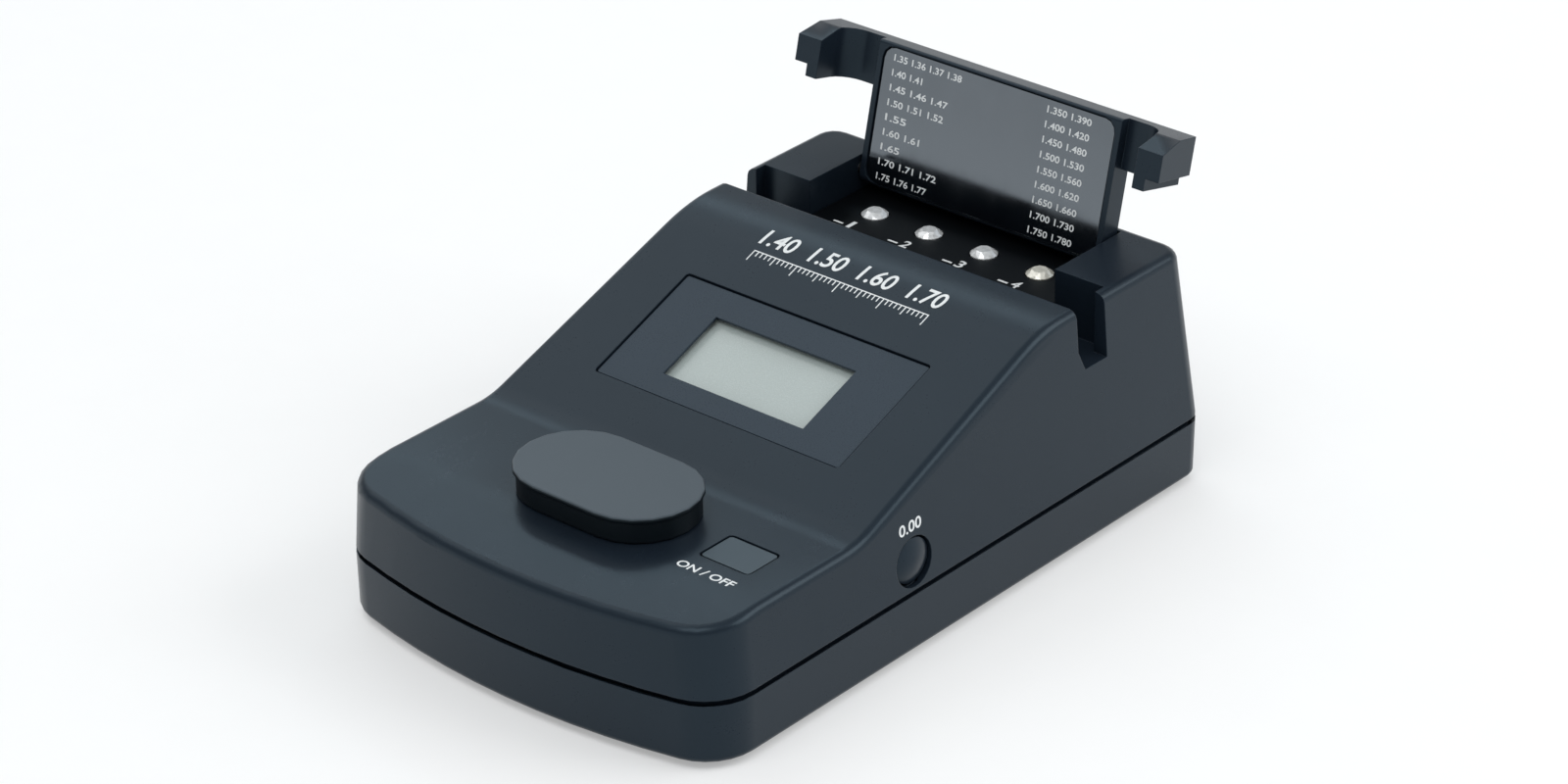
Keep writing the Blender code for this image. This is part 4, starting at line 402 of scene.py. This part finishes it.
# %% Make the rubber and the ribbon
PORE_SIZE = 0.20 * MM
PORE_RELIEF = 0.02 * MM
DUST_SIZE = 2.5 * MM
FOOT_EDGE = 0.2 * MM
CONDUCTOR_PITCH = MM
CONDUCTOR_RELIEF = 0.08 * MM
RIBBON_SCUFF = 1.2 * MM


def rubber():
    """Dull black with pale dust caught in its pores."""
    finish = Finish("rubber_finish")
    pores = finish.noise(PORE_SIZE, 3.0)
    dust = (finish.noise(DUST_SIZE, 3.0) * 1.5 - 0.45).clamped()
    colour = finish.blend(dust * 0.35, (0.012, 0.012, 0.013), (0.060, 0.058, 0.055))
    normal = bumped(finish, pores, PORE_RELIEF, finish.rounded(FOOT_EDGE))
    return finish.shader(colour, (pores * 0.15 + 0.72).clamped(), normal)


def ribbon_cable():
    """Grey film with a conductor every millimetre: a saw-tooth in X."""
    finish = Finish("ribbon_finish")
    wires = (finish.axis("X") / CONDUCTOR_PITCH).zigzag(0.5) * 2
    scuffs = finish.noise(RIBBON_SCUFF, 3.0)
    colour = finish.blend((wires * 0.7 + scuffs * 0.3).clamped(), (0.20, 0.21, 0.22), (0.48, 0.49, 0.50))
    normal = bumped(finish, wires, CONDUCTOR_RELIEF)
    return finish.shader(colour, (scuffs * 0.2 + 0.34).clamped(), normal)


foot_rubber = rubber()
ribbon_film = ribbon_cable()
print(foot_rubber.name, ribbon_film.name)

# %% Make the window and the lamp's lens
WINDOW_DUST = 0.4 * MM
WINDOW_RELIEF = 0.001 * MM
FLOW_SIZE = 0.7 * MM
FLOW_RELIEF = 0.004 * MM


def clear_window():
    """Hard clear glass with a trace of dust in its roughness."""
    finish = Finish("window_glass_finish")
    dust = finish.noise(WINDOW_DUST, 4.0)
    colour = finish.blend(dust, (0.80, 0.86, 0.88), (0.93, 0.95, 0.96))
    return finish.shader(colour, (dust * 0.10).clamped(), bumped(finish, dust, WINDOW_RELIEF), ior=1.52,
                         transmission_weight=0.85)


def lamp_lens():
    """Smoked epoxy, nearly black and glossy, with flow marks."""
    finish = Finish("led_lens_finish")
    flow = finish.noise(FLOW_SIZE, 3.0, (1.0, 1.0, 0.4))
    colour = finish.blend(flow, (0.045, 0.020, 0.055), (0.085, 0.045, 0.100))
    return finish.shader(colour, (flow * 0.16 + 0.06).clamped(), bumped(finish, flow, FLOW_RELIEF), ior=1.55)


window_glass = clear_window()
led_lens = lamp_lens()
print(window_glass.name, led_lens.name)

# %% [markdown]
# ## The lid's chart plate and the display's glass
# The chart plate is a glossy film, so it mirrors the dark tray at its foot and the pale room above. The
# display is a sandwich of glass over a grey-green reflector: a soft gloss on a slightly mottled tint. Real
# layers of glass would need many bounces of light, and one shader with a thin coat shows the same.


# %% Make the glossy films
FILM_GLOSS = (0.80, 0.90, 1.0)
PEEL_SIZE = 0.9 * MM
PEEL_DEPTH = 0.0010 * MM
FINGER_SMEAR = 6 * MM
FILM_CLOUD = 9 * MM
FILM_EDGE = 0.12 * MM
MOTTLE_SIZE = 0.16 * MM
MOTTLE_RELIEF = 0.001 * MM
DRIFT_SIZE = 16 * MM
GLASS_EDGE = 0.1 * MM


def chart_film():
    """Near-black gloss with a faint orange-peel and the odd finger smear."""
    finish = Finish("label_gloss_finish")
    peel = finish.noise(PEEL_SIZE, 2.0)
    smears = (finish.noise(FINGER_SMEAR, 4.0, (1.0, 1.0, 0.5)) * 1.7 - 0.5).clamped()
    tone = finish.noise(FILM_CLOUD, 2.0)
    colour = finish.blend(tone, (0.0010, 0.0012, 0.0016), (0.0020, 0.0024, 0.0030))
    rough = (smears * 0.10 + peel * 0.03 + 0.05).clamped()
    return finish.shader(colour, rough, bumped(finish, peel, PEEL_DEPTH, finish.rounded(FILM_EDGE)),
                         ior=2.65, specular_tint=FILM_GLOSS)


def display_glass():
    """A grey-green reflector seen through glass: fine mottle on a slow drift of tone."""
    finish = Finish("lcd_face_finish")
    mottle = finish.noise(MOTTLE_SIZE, 2.0)
    drift = finish.noise(DRIFT_SIZE, 1.0)
    tone = (mottle * 0.45 + drift * 0.55).clamped()
    colour = finish.blend(tone, (0.320, 0.376, 0.366), (0.418, 0.475, 0.464))
    rough = (mottle * 0.10 + 0.22).clamped()
    return finish.shader(colour, rough, bumped(finish, mottle, MOTTLE_RELIEF, finish.rounded(GLASS_EDGE)),
                         coat_weight=0.25, coat_roughness=0.08)


label_gloss = chart_film()
lcd_face = display_glass()
print("films:", label_gloss.name, lcd_face.name)

# %% [markdown]
# ## Stones and ink
# A small brilliant looks white from most sides, because its facets throw back the light of the whole room.
# Clear crystal would need many bounces to show that, so the finish is mostly a bright body and partly a
# mirror. The fourth stone in the row is a shade yellower. The ink on the shells is matt white and not quite
# even.


# %% Make the stone and the ink
VEIL_SIZE = 0.8 * MM
BLOT_SIZE = 0.35 * MM
SCREEN_MESH = 0.08 * MM
INK_RELIEF = 0.004 * MM
VEIL_DARKER = 0.62
BLOT_DARKER = 0.84


def gem(name, tint):
    """Three parts a bright body, one part a mirror, greyer where a veil of noise is thin."""
    finish = Finish(name)
    veil = finish.noise(VEIL_SIZE, 3.0)
    colour = finish.blend((veil * 1.8 - 0.4).clamped(), scaled(tint, VEIL_DARKER), tint)
    return finish.shader(colour, (veil * 0.10 + 0.04).clamped(), ior=2.2, metallic=0.25)


def ink(name, tint):
    """Screen-printed ink: slightly blotchy, with tiny pits where the mesh of the screen lay."""
    finish = Finish(name)
    blots = finish.noise(BLOT_SIZE, 3.0)
    mesh_marks = finish.noise(SCREEN_MESH, 1.0)
    cover = (blots * 0.7 + mesh_marks * 0.3).clamped()
    colour = finish.blend(cover, scaled(tint, BLOT_DARKER), tint)
    return finish.shader(colour, (blots * 0.2 + 0.5).clamped(), bumped(finish, mesh_marks, INK_RELIEF))


stone_white = gem("stone_finish", (0.95, 0.97, 0.98))
stone_warm = gem("stone_warm_finish", (0.97, 0.95, 0.84))
white_ink = ink("white_ink_finish", (0.80, 0.83, 0.84))
print("stones and ink made")

# %% [markdown]
# ## Skins over the solids
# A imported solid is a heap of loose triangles, so light would fall on it in hard facets. A skin is a copy
# whose triangles are joined, whose flat regions are merged into single faces, and whose normals follow the
# larger faces, so that a fillet runs smoothly into the flat beside it. The solid itself stays untouched.
# The groove where the two shells meet is a shadow line, so the skins of the shells have its lips drawn back
# a little and its floor sunk inwards, which keeps the floor out of sight and dark.

# %% Open the groove of a shell's skin
JOIN_DISTANCE = 0.002 * MM
LIP_DRAWN_BACK = 0.22 * MM
GROOVE_FLOOR_SUNK = 1.30 * MM
GROOVE_HEIGHT = 0.50 * MM
UPPER_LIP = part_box("upper_case")[0].z
LOWER_LIP = UPPER_LIP - GROOVE_HEIGHT


def corners_at(form, height):
    """The corners of a form that lie at one height."""
    return [corner for corner in form.verts if abs(corner.co.z - height) < JOIN_DISTANCE]


def climbs(corner):
    """Whether an edge leads up from a corner, as it does where the groove's floor meets its inner wall."""
    return any(edge.other_vert(corner).co.z > corner.co.z + JOIN_DISTANCE for edge in corner.link_edges)


def open_groove(form, node):
    """Upper lip up, lower lip down, and the corners where the floor meets the inner wall down further."""
    if node == "upper_case":
        for corner in corners_at(form, UPPER_LIP):
            corner.co.z += LIP_DRAWN_BACK
    if node == "lower_case":
        lip = corners_at(form, LOWER_LIP)
        inner = {corner for corner in lip if climbs(corner)}
        for corner in lip:
            corner.co.z -= GROOVE_FLOOR_SUNK if corner in inner else LIP_DRAWN_BACK
        print("groove corners:", len(inner), "inner,", len(lip) - len(inner), "outer")


print("the lips stand at", round(LOWER_LIP / MM, 2), "and", round(UPPER_LIP / MM, 2), "mm")

# %% Make a skin from a solid
FLAT_ANGLE = math.radians(0.4)
SHARP_ANGLE = math.radians(33)


def skin_of(node, finish, sharp=SHARP_ANGLE):
    """A copy of one solid, joined and merged, with normals weighted by face area, in its place."""
    form = bmesh.new()
    form.from_mesh(frame["nodes"][node].data)
    bmesh.ops.remove_doubles(form, verts=form.verts, dist=JOIN_DISTANCE)
    open_groove(form, node)
    bmesh.ops.dissolve_limit(form, angle_limit=FLAT_ANGLE, verts=form.verts, edges=form.edges)
    mesh = bpy.data.meshes.new(node + "_skin")
    form.to_mesh(mesh)
    form.free()
    return dress(node + "_skin", mesh, finish, body_of[node], (node,), sharp)


def dress(name, mesh, finish, body, replaced=(), sharp=SHARP_ANGLE):
    """Puts a mesh in the scene with its finish, its body, and the solids that it stands for."""
    for layer in [a.name for a in mesh.attributes if a.name in ("custom_normal", "sharp_edge")]:
        mesh.attributes.remove(mesh.attributes[layer])
    mesh.materials.clear()
    mesh.materials.append(finish)
    mesh.shade_smooth()
    mesh.set_sharp_from_angle(angle=sharp)
    piece = bpy.data.objects.new(name, mesh)
    bpy.context.scene.collection.objects.link(piece)
    weighted = piece.modifiers.new("Follow the larger faces", "WEIGHTED_NORMAL")
    weighted.keep_sharp = True
    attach(piece, body)
    if replaced:
        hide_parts(*replaced)
    return piece


print("skins have their edges sharp past", round(math.degrees(SHARP_ANGLE)), "degrees")

# %% Dress the pieces that show
SKINS = (
    ("upper_case", case_plastic, "case_plastic"),
    ("lower_case", case_plastic, "case_plastic"),
    ("lid", case_plastic, "case_plastic"),
    ("light_shield", cap_plastic_painted_top, "case_plastic"),
    ("calibration_button", case_plastic, "case_plastic"),
    ("battery_door", case_plastic, "case_plastic"),
    ("display_panel", panel_plastic, "panel_plastic"),
    ("power_button", button_plastic, "panel_plastic"),
    ("stone_tray", black_plastic, "black_plastic"),
    ("lid_label", label_gloss, "label_gloss"),
    ("lcd_glass", lcd_face, "lcd_face"),
)
for node, finish, slot in SKINS:
    print(skin_of(node, finish).name)

# %% [markdown]
# ## The reference stones
# Each stone is a round brilliant. Its facets are flat, so its corners say everything: eight on the table,
# eight where the kite facets meet below it, sixteen round the girdle, twice, and the point underneath. The
# stones were dropped into their seats by hand, so each is turned by its own angle.

# %% Cut the stones
STONE_LOW, STONE_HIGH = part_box("reference_stone_1")
STONE_RADIUS = (STONE_HIGH.x - STONE_LOW.x) / 2
STONE_TABLE = 0.56 * STONE_RADIUS
STONE_CROWN = 0.80 * MM
STONE_GIRDLE = 0.20 * MM
STONE_PAVILION = 1.30 * MM
KITE_RADIUS = 0.80 * STONE_RADIUS
KITE_DROP = 0.50 * STONE_CROWN
POINT_RADIUS = 0.06 * STONE_RADIUS
POINT_DROP = 0.97 * STONE_PAVILION
FACET_ANGLE = math.radians(3)
STONE_TURNS = (0.10, 0.62, 1.05, 1.49)


def ring(radius, height, count, turn=0.0):
    """Corners on a circle: (radius cos a, radius sin a, height), with a in equal steps from the turn."""
    angle = turn + np.arange(count) * math.tau / count
    return np.column_stack((radius * np.cos(angle), radius * np.sin(angle), np.full(count, height)))


def brilliant(turn):
    """The convex hull of a brilliant's corners, from its table at height 0 down to its point. The kites
    and the point are turned half a step, so that they lie between the corners of the table."""
    between = turn + math.tau / 16
    corners = np.concatenate((
        ring(STONE_TABLE, 0, 8, turn),
        ring(KITE_RADIUS, -KITE_DROP, 8, between),
        ring(STONE_RADIUS, -STONE_CROWN, 16, turn),
        ring(STONE_RADIUS, -STONE_CROWN - STONE_GIRDLE, 16, turn),
        ring(POINT_RADIUS, -STONE_CROWN - STONE_GIRDLE - POINT_DROP, 8, between),
    ))
    form = bmesh.new()
    for corner in corners:
        form.verts.new(corner)
    bmesh.ops.convex_hull(form, input=form.verts)
    return form


for number, turn in enumerate(STONE_TURNS, 1):
    node = f"reference_stone_{number}"
    low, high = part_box(node)
    stone = brilliant(turn)
    bmesh.ops.translate(stone, verts=stone.verts, vec=((low.x + high.x) / 2, (low.y + high.y) / 2, high.z))
    mesh = bpy.data.meshes.new(node + "_cut")
    stone.to_mesh(mesh)
    stone.free()
    finish = stone_warm if number == len(STONE_TURNS) else stone_white
    piece = dress(node + "_cut", mesh, finish, "housing", (node,), FACET_ANGLE)
    print(piece.name, len(mesh.polygons), "facets")

# %% [markdown]
# ## Printed figures
# The print on the shells is a skin of white ink. It is made from plates a twentieth of a millimetre thick
# that stand half in and half out of the surface, so it stays put from every side. A plate starts flat, with
# u along the line and v up it, and a place function then lays it on its surface. The figures are plain
# numbers, a graduated scale, and the two words of the switch.

# %% Make flat plates from figures and bars
INK_THICKNESS = 0.05 * MM
BOX_CORNERS = np.array([(u, v, w) for w in (0, 1) for v in (0, 1) for u in (0, 1)], dtype=float)
BOX_TRIANGLES = np.array([(0, 2, 3), (0, 3, 1), (4, 5, 7), (4, 7, 6), (0, 1, 5), (0, 5, 4),
                          (1, 3, 7), (1, 7, 5), (3, 2, 6), (3, 6, 7), (2, 0, 4), (2, 4, 6)])


def bars(lefts, lows, widths, heights):
    """Upright bars: each is the unit box scaled to its width and height and moved to its corner."""
    lefts, lows, widths, heights = np.broadcast_arrays(*map(np.atleast_1d, (lefts, lows, widths, heights)))
    size = np.column_stack((widths, heights, np.ones(len(widths))))
    corner = np.column_stack((lefts, lows, np.zeros(len(widths))))
    points = BOX_CORNERS * size[:, None, :] + corner[:, None, :]
    triangles = BOX_TRIANGLES + 8 * np.arange(len(widths))[:, None, None]
    return points.reshape(-1, 3), triangles.reshape(-1, 3)


def figures(text, left, low, width, height, weight, cuts=0):
    """A text as a closed plate, fitted to a box that starts at (left, low). The weight thickens its lines,
    and cuts across it let it bend."""
    curve = bpy.data.curves.new("figures", "FONT")
    curve.body = text
    curve.offset = weight
    curve.resolution_u = 4
    curve.extrude = 0.5
    holder = bpy.data.objects.new("figures", curve)
    bpy.context.scene.collection.objects.link(holder)
    mesh = bpy.data.meshes.new_from_object(holder.evaluated_get(bpy.context.evaluated_depsgraph_get()))
    form = bmesh.new()
    form.from_mesh(mesh)
    bpy.data.objects.remove(holder)
    bpy.data.curves.remove(curve)
    bmesh.ops.remove_doubles(form, verts=form.verts, dist=0.0001)
    heights = [corner.co.y for corner in form.verts]
    for level in np.linspace(min(heights), max(heights), cuts + 2)[1:-1]:
        geometry = form.verts[:] + form.edges[:] + form.faces[:]
        bmesh.ops.bisect_plane(form, geom=geometry, plane_co=(0, level, 0), plane_no=(0, 1, 0))
    bmesh.ops.triangulate(form, faces=form.faces)
    bmesh.ops.recalc_face_normals(form, faces=form.faces)
    form.to_mesh(mesh)
    form.free()
    points = np.empty(len(mesh.vertices) * 3)
    mesh.vertices.foreach_get("co", points)
    corners = np.empty(len(mesh.loops), dtype=np.int32)
    mesh.loops.foreach_get("vertex_index", corners)
    bpy.data.meshes.remove(mesh)
    points = points.reshape(-1, 3)
    first, last = points.min(axis=0), points.max(axis=0)
    share = (points - first) / (last - first)
    return share * (width, height, 1) + (left, low, 0), corners.reshape(-1, 3)


print("a bar has", len(BOX_TRIANGLES), "triangles")

# %% Lay plates on a surface
def lay(name, plates, origin, along, up, body, fall=None):
    """Point = origin + u along + v up + (w - 1/2) thickness out - fall(v) out, where out = along x up."""
    counts = np.cumsum([0] + [len(points) for points, _ in plates])
    points = np.concatenate([points for points, _ in plates])
    triangles = np.concatenate([tris + count for (_, tris), count in zip(plates, counts)])
    along, up = np.array(along) / np.linalg.norm(along), np.array(up) / np.linalg.norm(up)
    out = np.cross(along, up)
    lift = (points[:, 2] - 0.5) * INK_THICKNESS - (fall(points[:, 1]) if fall else 0)
    placed = np.array(origin) + points[:, :1] * along + points[:, 1:2] * up + lift[:, None] * out
    mesh = bpy.data.meshes.new(name)
    mesh.from_pydata(placed.tolist(), [], triangles.tolist())
    dress(name, mesh, white_ink, body)
    print(name, len(triangles), "triangles")


print("the ink is", round(INK_THICKNESS / MM, 3), "mm thick")

# %% [markdown]
# ### The scale on the slope
# A row of large numbers stands just under the crest, and a graduated scale runs below it. The top of the
# slope runs into the crest along an arc, so the upper row has to bend: past the point where the arc starts,
# the surface falls away from the slope's plane by R - sqrt(R^2 - d^2), where d is the way past that point.

# %% Print the scale
SLOPE_ORIGIN = (0, -13.870 * MM, 30.784 * MM)
SLOPE_ANGLE = math.radians(20.4926)
SLOPE_UP = (0, math.cos(SLOPE_ANGLE), math.sin(SLOPE_ANGLE))
CREST_RADIUS = 32 * MM
CREST_STARTS = 34.55 * MM
SCALE_STEPS = 40
SCALE_LEFT = -19.2 * MM
SCALE_LENGTH = 38.2 * MM
TICK_TOP = 34.9 * MM
LONG_TICK = 2.5 * MM
MIDDLE_TICK = 1.9 * MM
SHORT_TICK = 1.2 * MM
RULE_LOW = 34.75 * MM
LINE_WIDTH = 0.22 * MM
SCALE_NUMBERS = ("1.40  1.50  1.60  1.70", -20.0 * MM, 36.6 * MM, 39.6 * MM, 4.1 * MM)


def crest_fall(up_slope):
    """How far the crest's arc lies below the slope's plane."""
    past = np.clip(up_slope - CREST_STARTS, 0, CREST_RADIUS)
    return CREST_RADIUS - np.sqrt(CREST_RADIUS ** 2 - past ** 2)


ticks = np.arange(SCALE_STEPS + 1)
tick_height = np.where(ticks % 10 == 0, LONG_TICK, np.where(ticks % 5 == 0, MIDDLE_TICK, SHORT_TICK))
tick_middle = SCALE_LEFT + ticks * SCALE_LENGTH / SCALE_STEPS
scale_plates = [
    figures(*SCALE_NUMBERS, weight=0.014, cuts=9),
    bars(tick_middle - LINE_WIDTH / 2, TICK_TOP - tick_height, LINE_WIDTH, tick_height),
    bars(SCALE_LEFT - LINE_WIDTH / 2, RULE_LOW, SCALE_LENGTH + LINE_WIDTH, LINE_WIDTH),
]
lay("slope_scale", scale_plates, SLOPE_ORIGIN, (1, 0, 0), SLOPE_UP, "housing", crest_fall)

# %% [markdown]
# ### The lid's chart
# The chart plate carries nine rows: a few index values at the left and the bounds of the row at the right.
# The rows start at the lid's free edge, which is at the top while the lid is open. The chart's frame is the
# lid's own: it starts at the hinge line, and up is the way from the hinge to the free edge.

# %% Print the chart
HINGE_LINE = Vector(joint_of["lid_hinge"]["pos_m"])
LID_OPEN = math.radians(joint_of["lid_hinge"]["range_deg"][1])
CHART_UP = Vector((0, -math.cos(LID_OPEN), math.sin(LID_OPEN)))
CHART_OUT = Vector((1, 0, 0)).cross(CHART_UP)
CHART_FACE = 1.10 * MM
ROW_COUNTS = (4, 2, 3, 3, 1, 2, 1, 3, 3)
ROW_ENDS = (-8.0, -16.3, -10.1, -10.6, -18.4, -14.9, -18.9, -10.1, -11.8)
ROW_HEIGHT = 1.25 * MM
ROW_PITCH = 2.70 * MM
FIRST_ROW = 20.9 * MM
VALUES_LEFT = -23.1 * MM
BOUNDS_LEFT = 10.8 * MM
BOUNDS_WIDTH = 9.5 * MM
CHART_WEIGHT = 0.018
FIRST_INDEX = 1.35
ROW_STEP = 0.05
VALUE_STEP = 0.01

chart_plates = []
for row, (count, end) in enumerate(zip(ROW_COUNTS, ROW_ENDS)):
    start = FIRST_INDEX + ROW_STEP * row
    values = " ".join(f"{start + VALUE_STEP * i:.2f}" for i in range(count))
    bounds = f"{start:.3f} {start + VALUE_STEP * count:.3f}"
    low = FIRST_ROW - row * ROW_PITCH
    chart_plates.append(figures(values, VALUES_LEFT, low, end * MM - VALUES_LEFT, ROW_HEIGHT, CHART_WEIGHT))
    chart_plates.append(figures(bounds, BOUNDS_LEFT, low, BOUNDS_WIDTH, ROW_HEIGHT, CHART_WEIGHT))
lay("chart_print", chart_plates, HINGE_LINE + CHART_OUT * CHART_FACE, (1, 0, 0), CHART_UP, "lid")

# %% [markdown]
# ### The small print
# The switch has its two words beside it on the deck, the round button on the side has its zero above it, and
# each reference stone has its number with a dash before it. The side of the case leans in by the mould's
# draft, and the zero leans with it.

# %% Print the switch's words, the zero and the stones' numbers
DECK_TOP = 26.4 * MM
SIDE_DRAFT = 0.083
SIDE_AT = (42.0 * MM, -66.6 * MM, 12.5 * MM)
TRAY_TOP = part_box("stone_tray")[1].z
SMALL_WEIGHT = 0.016
SWITCH_WORDS = ("ON / OFF", 21.8 * MM, -48.6 * MM, 11.7 * MM, 1.9 * MM)
ZERO_MARK = ("0.00", 50.8 * MM, 11.0 * MM, 5.6 * MM, 2.1 * MM)
NUMBER_MIDDLES = (-18.8 * MM, -6.5 * MM, 5.6 * MM, 17.8 * MM)
NUMBER_LOW = 42.8 * MM
NUMBER_HEIGHT = 2.5 * MM
NARROW_ONE = 0.8 * MM
NUMBER_WIDTH = 1.6 * MM
DASH_BEFORE = 3.6 * MM
DASH_LOW = 43.3 * MM
DASH_LENGTH = 2.1 * MM
DASH_HEIGHT = 0.45 * MM
lay("switch_words", [figures(*SWITCH_WORDS, SMALL_WEIGHT)],
    (0, 0, DECK_TOP), (1, 0, 0), (0, 1, 0), "housing")
lay("zero_mark", [figures(*ZERO_MARK, SMALL_WEIGHT)],
    SIDE_AT, (0, 1, 0), (-SIDE_DRAFT, 0, 1), "housing")
tray_plates = []
for number, middle in enumerate(NUMBER_MIDDLES, 1):
    width = NARROW_ONE if number == 1 else NUMBER_WIDTH
    left = middle - width / 2
    tray_plates.append(figures(str(number), left, NUMBER_LOW, width, NUMBER_HEIGHT, SMALL_WEIGHT))
    tray_plates.append(bars(middle - DASH_BEFORE, DASH_LOW, DASH_LENGTH, DASH_HEIGHT))
lay("tray_numbers", tray_plates, (0, 0, TRAY_TOP), (1, 0, 0), (0, 1, 0), "housing")

# %% [markdown]
# ## The parts that keep their solids
# Small hidden parts are right as they are. Each only needs a better finish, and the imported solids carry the
# names of their finishes as the names of their materials. The round ones that come into view, when the cap
# swings away, the door slides out or the instrument is turned over, get skins as well, so that they shade
# as round.

# %% Give the other solids their finishes
FINISH_OF_SLOT = {
    "case_plastic": case_plastic,
    "panel_plastic": panel_plastic,
    "black_plastic": black_plastic,
    "label_gloss": label_gloss,
    "lcd_face": lcd_face,
    "white_plastic": white_plastic,
    "circuit_board": board_green,
    "steel": steel,
    "window_glass": window_glass,
    "stone": stone_white,
    "led_lens": led_lens,
    "rubber": foot_rubber,
    "cell_wrap": sleeve_print,
    "ribbon": ribbon_film,
}
ROUND_PARTS = ("measuring_plate", "shield_post", "hinge_pin_left", "hinge_pin_right",
               *(f"battery_{i}" for i in (1, 2, 3)), *(f"rubber_foot_{i}" for i in (1, 2, 3, 4)))
for node in ROUND_PARTS:
    slot = frame["nodes"][node].data.materials[0].name
    print(skin_of(node, FINISH_OF_SLOT[slot]).name)
for solid in frame["nodes"].values():
    for i, material in enumerate(solid.data.materials):
        solid.data.materials[i] = FINISH_OF_SLOT[material.name]
print(len(frame["nodes"]), "solids have their finishes")

# %% [markdown]
# ## The floor and the light
# The instrument stands on white paper in a light tent, whose wall is darker at mid height than at its foot
# and roof. Four lamps shape it: a soft one above at the left, one behind at the right for the right side,
# one high in front for the prints and the paper, and a long thin one low behind, whose mirror image lies
# along the bend between slope and deck. Where the paper is seen, a third of what shows is plain white, so
# that it fades into a white ground and still keeps the shadow.

# %% Lay the floor
FLOOR_HALF = 4.0
WHITE_SHARE = 0.33
FIBRE_SIZE = 12 * MM
floor_mesh = bpy.data.meshes.new("floor")
corners = [(-FLOOR_HALF, -FLOOR_HALF, 0), (FLOOR_HALF, -FLOOR_HALF, 0), (FLOOR_HALF, FLOOR_HALF, 0),
           (-FLOOR_HALF, FLOOR_HALF, 0)]
floor_mesh.from_pydata(corners, [], [(0, 1, 2, 3)])
floor = bpy.data.objects.new("floor", floor_mesh)
bpy.context.scene.collection.objects.link(floor)


def paper():
    """White paper with the faintest mottle. Where it is seen, by eye or in gloss, a third is plain white."""
    finish = Finish("floor_finish")
    fibre = finish.noise(FIBRE_SIZE, 3.0)
    colour = finish.blend(fibre, (0.900, 0.910, 0.915), (0.920, 0.930, 0.935))
    material = finish.shader(colour, (fibre * 0.1 + 0.8).clamped(), specular_ior_level=0.1)
    output = finish.tree.nodes["Material Output"]
    lit = output.inputs["Surface"].links[0].from_socket
    ray = finish.node("LightPath").outputs
    seen = Value(finish, ray["Is Camera Ray"]) + ray["Is Glossy Ray"] + ray["Is Transmission Ray"]
    white = finish.node("Emission", {}, {"Color": (1.0, 1.0, 1.0, 1.0), "Strength": 1.0})
    mixed = finish.node("MixShader", {}, {0: seen.clamped() * WHITE_SHARE, 1: lit, 2: white.outputs[0]})
    finish.tree.links.new(mixed.outputs[0], output.inputs["Surface"])
    return material


floor_mesh.materials.append(paper())
print("a floor", 2 * FLOOR_HALF, "metres wide")

# %% Hang the lamps in the light tent
TENT_STOPS = ((0.00, 1.10), (0.12, 1.05), (0.34, 0.37), (0.52, 0.39), (0.85, 0.66))
TENT_TINT = (0.97, 0.99, 1.00)
WHITE = (1.00, 1.00, 1.00)
PALE_BLUE = (0.72, 0.90, 1.00)
LAMPS = (
    # name, place, width, depth, power, the way its width runs, colour
    ("key_lamp", (-0.75, 0.10, 1.07), 0.9, 0.9, 2.1, (1, 0, 0), WHITE),
    ("side_lamp", (0.85, 0.65, 0.80), 0.9, 0.7, 6.8, (-0.6, 0.8, 0), WHITE),
    ("front_lamp", (0.15, -0.60, 1.35), 1.0, 0.8, 6.0, (1, 0, 0), WHITE),
    ("bend_strip", (-0.68, 0.66, 0.735), 1.0, 0.10, 1.1, (1, 0, 0), PALE_BLUE),
)


def lamp(name, place, width, depth, power, along, colour):
    """A rectangular lamp that faces the instrument. Its width runs along a direction as far as it can."""
    light = bpy.data.lights.new(name, "AREA")
    light.shape = "RECTANGLE"
    light.size = width
    light.size_y = depth
    light.energy = power
    light.color = colour
    back = (Vector(place) - VIEW_TARGET).normalized()
    side = (Vector(along) - back * back.dot(Vector(along))).normalized()
    axes = Matrix((side, back.cross(side), back)).transposed()
    holder = bpy.data.objects.new(name, light)
    holder.matrix_world = Matrix.Translation(place) @ axes.to_4x4()
    bpy.context.scene.collection.objects.link(holder)


def light_tent():
    """The grey of the tent follows the height of the direction looked in, through the stops above."""
    room = bpy.data.worlds.new("room")
    room.use_nodes = True
    tree = room.node_tree
    place = tree.nodes.new("ShaderNodeTexCoord")
    parts = tree.nodes.new("ShaderNodeSeparateXYZ")
    ramp = tree.nodes.new("ShaderNodeValToRGB")
    while len(ramp.color_ramp.elements) < len(TENT_STOPS):
        ramp.color_ramp.elements.new(0.5)
    for element, (height, grey) in zip(ramp.color_ramp.elements, TENT_STOPS):
        element.position = height
        element.color = (*(grey * tint for tint in TENT_TINT), 1.0)
    tree.links.new(place.outputs["Generated"], parts.inputs[0])
    tree.links.new(parts.outputs["Z"], ramp.inputs[0])
    tree.links.new(ramp.outputs["Color"], tree.nodes["Background"].inputs["Color"])
    return room


for settings in LAMPS:
    lamp(*settings)
bpy.context.scene.world = light_tent()
bpy.context.scene.view_settings.view_transform = "Standard"
print(len(LAMPS), "lamps in a light tent")
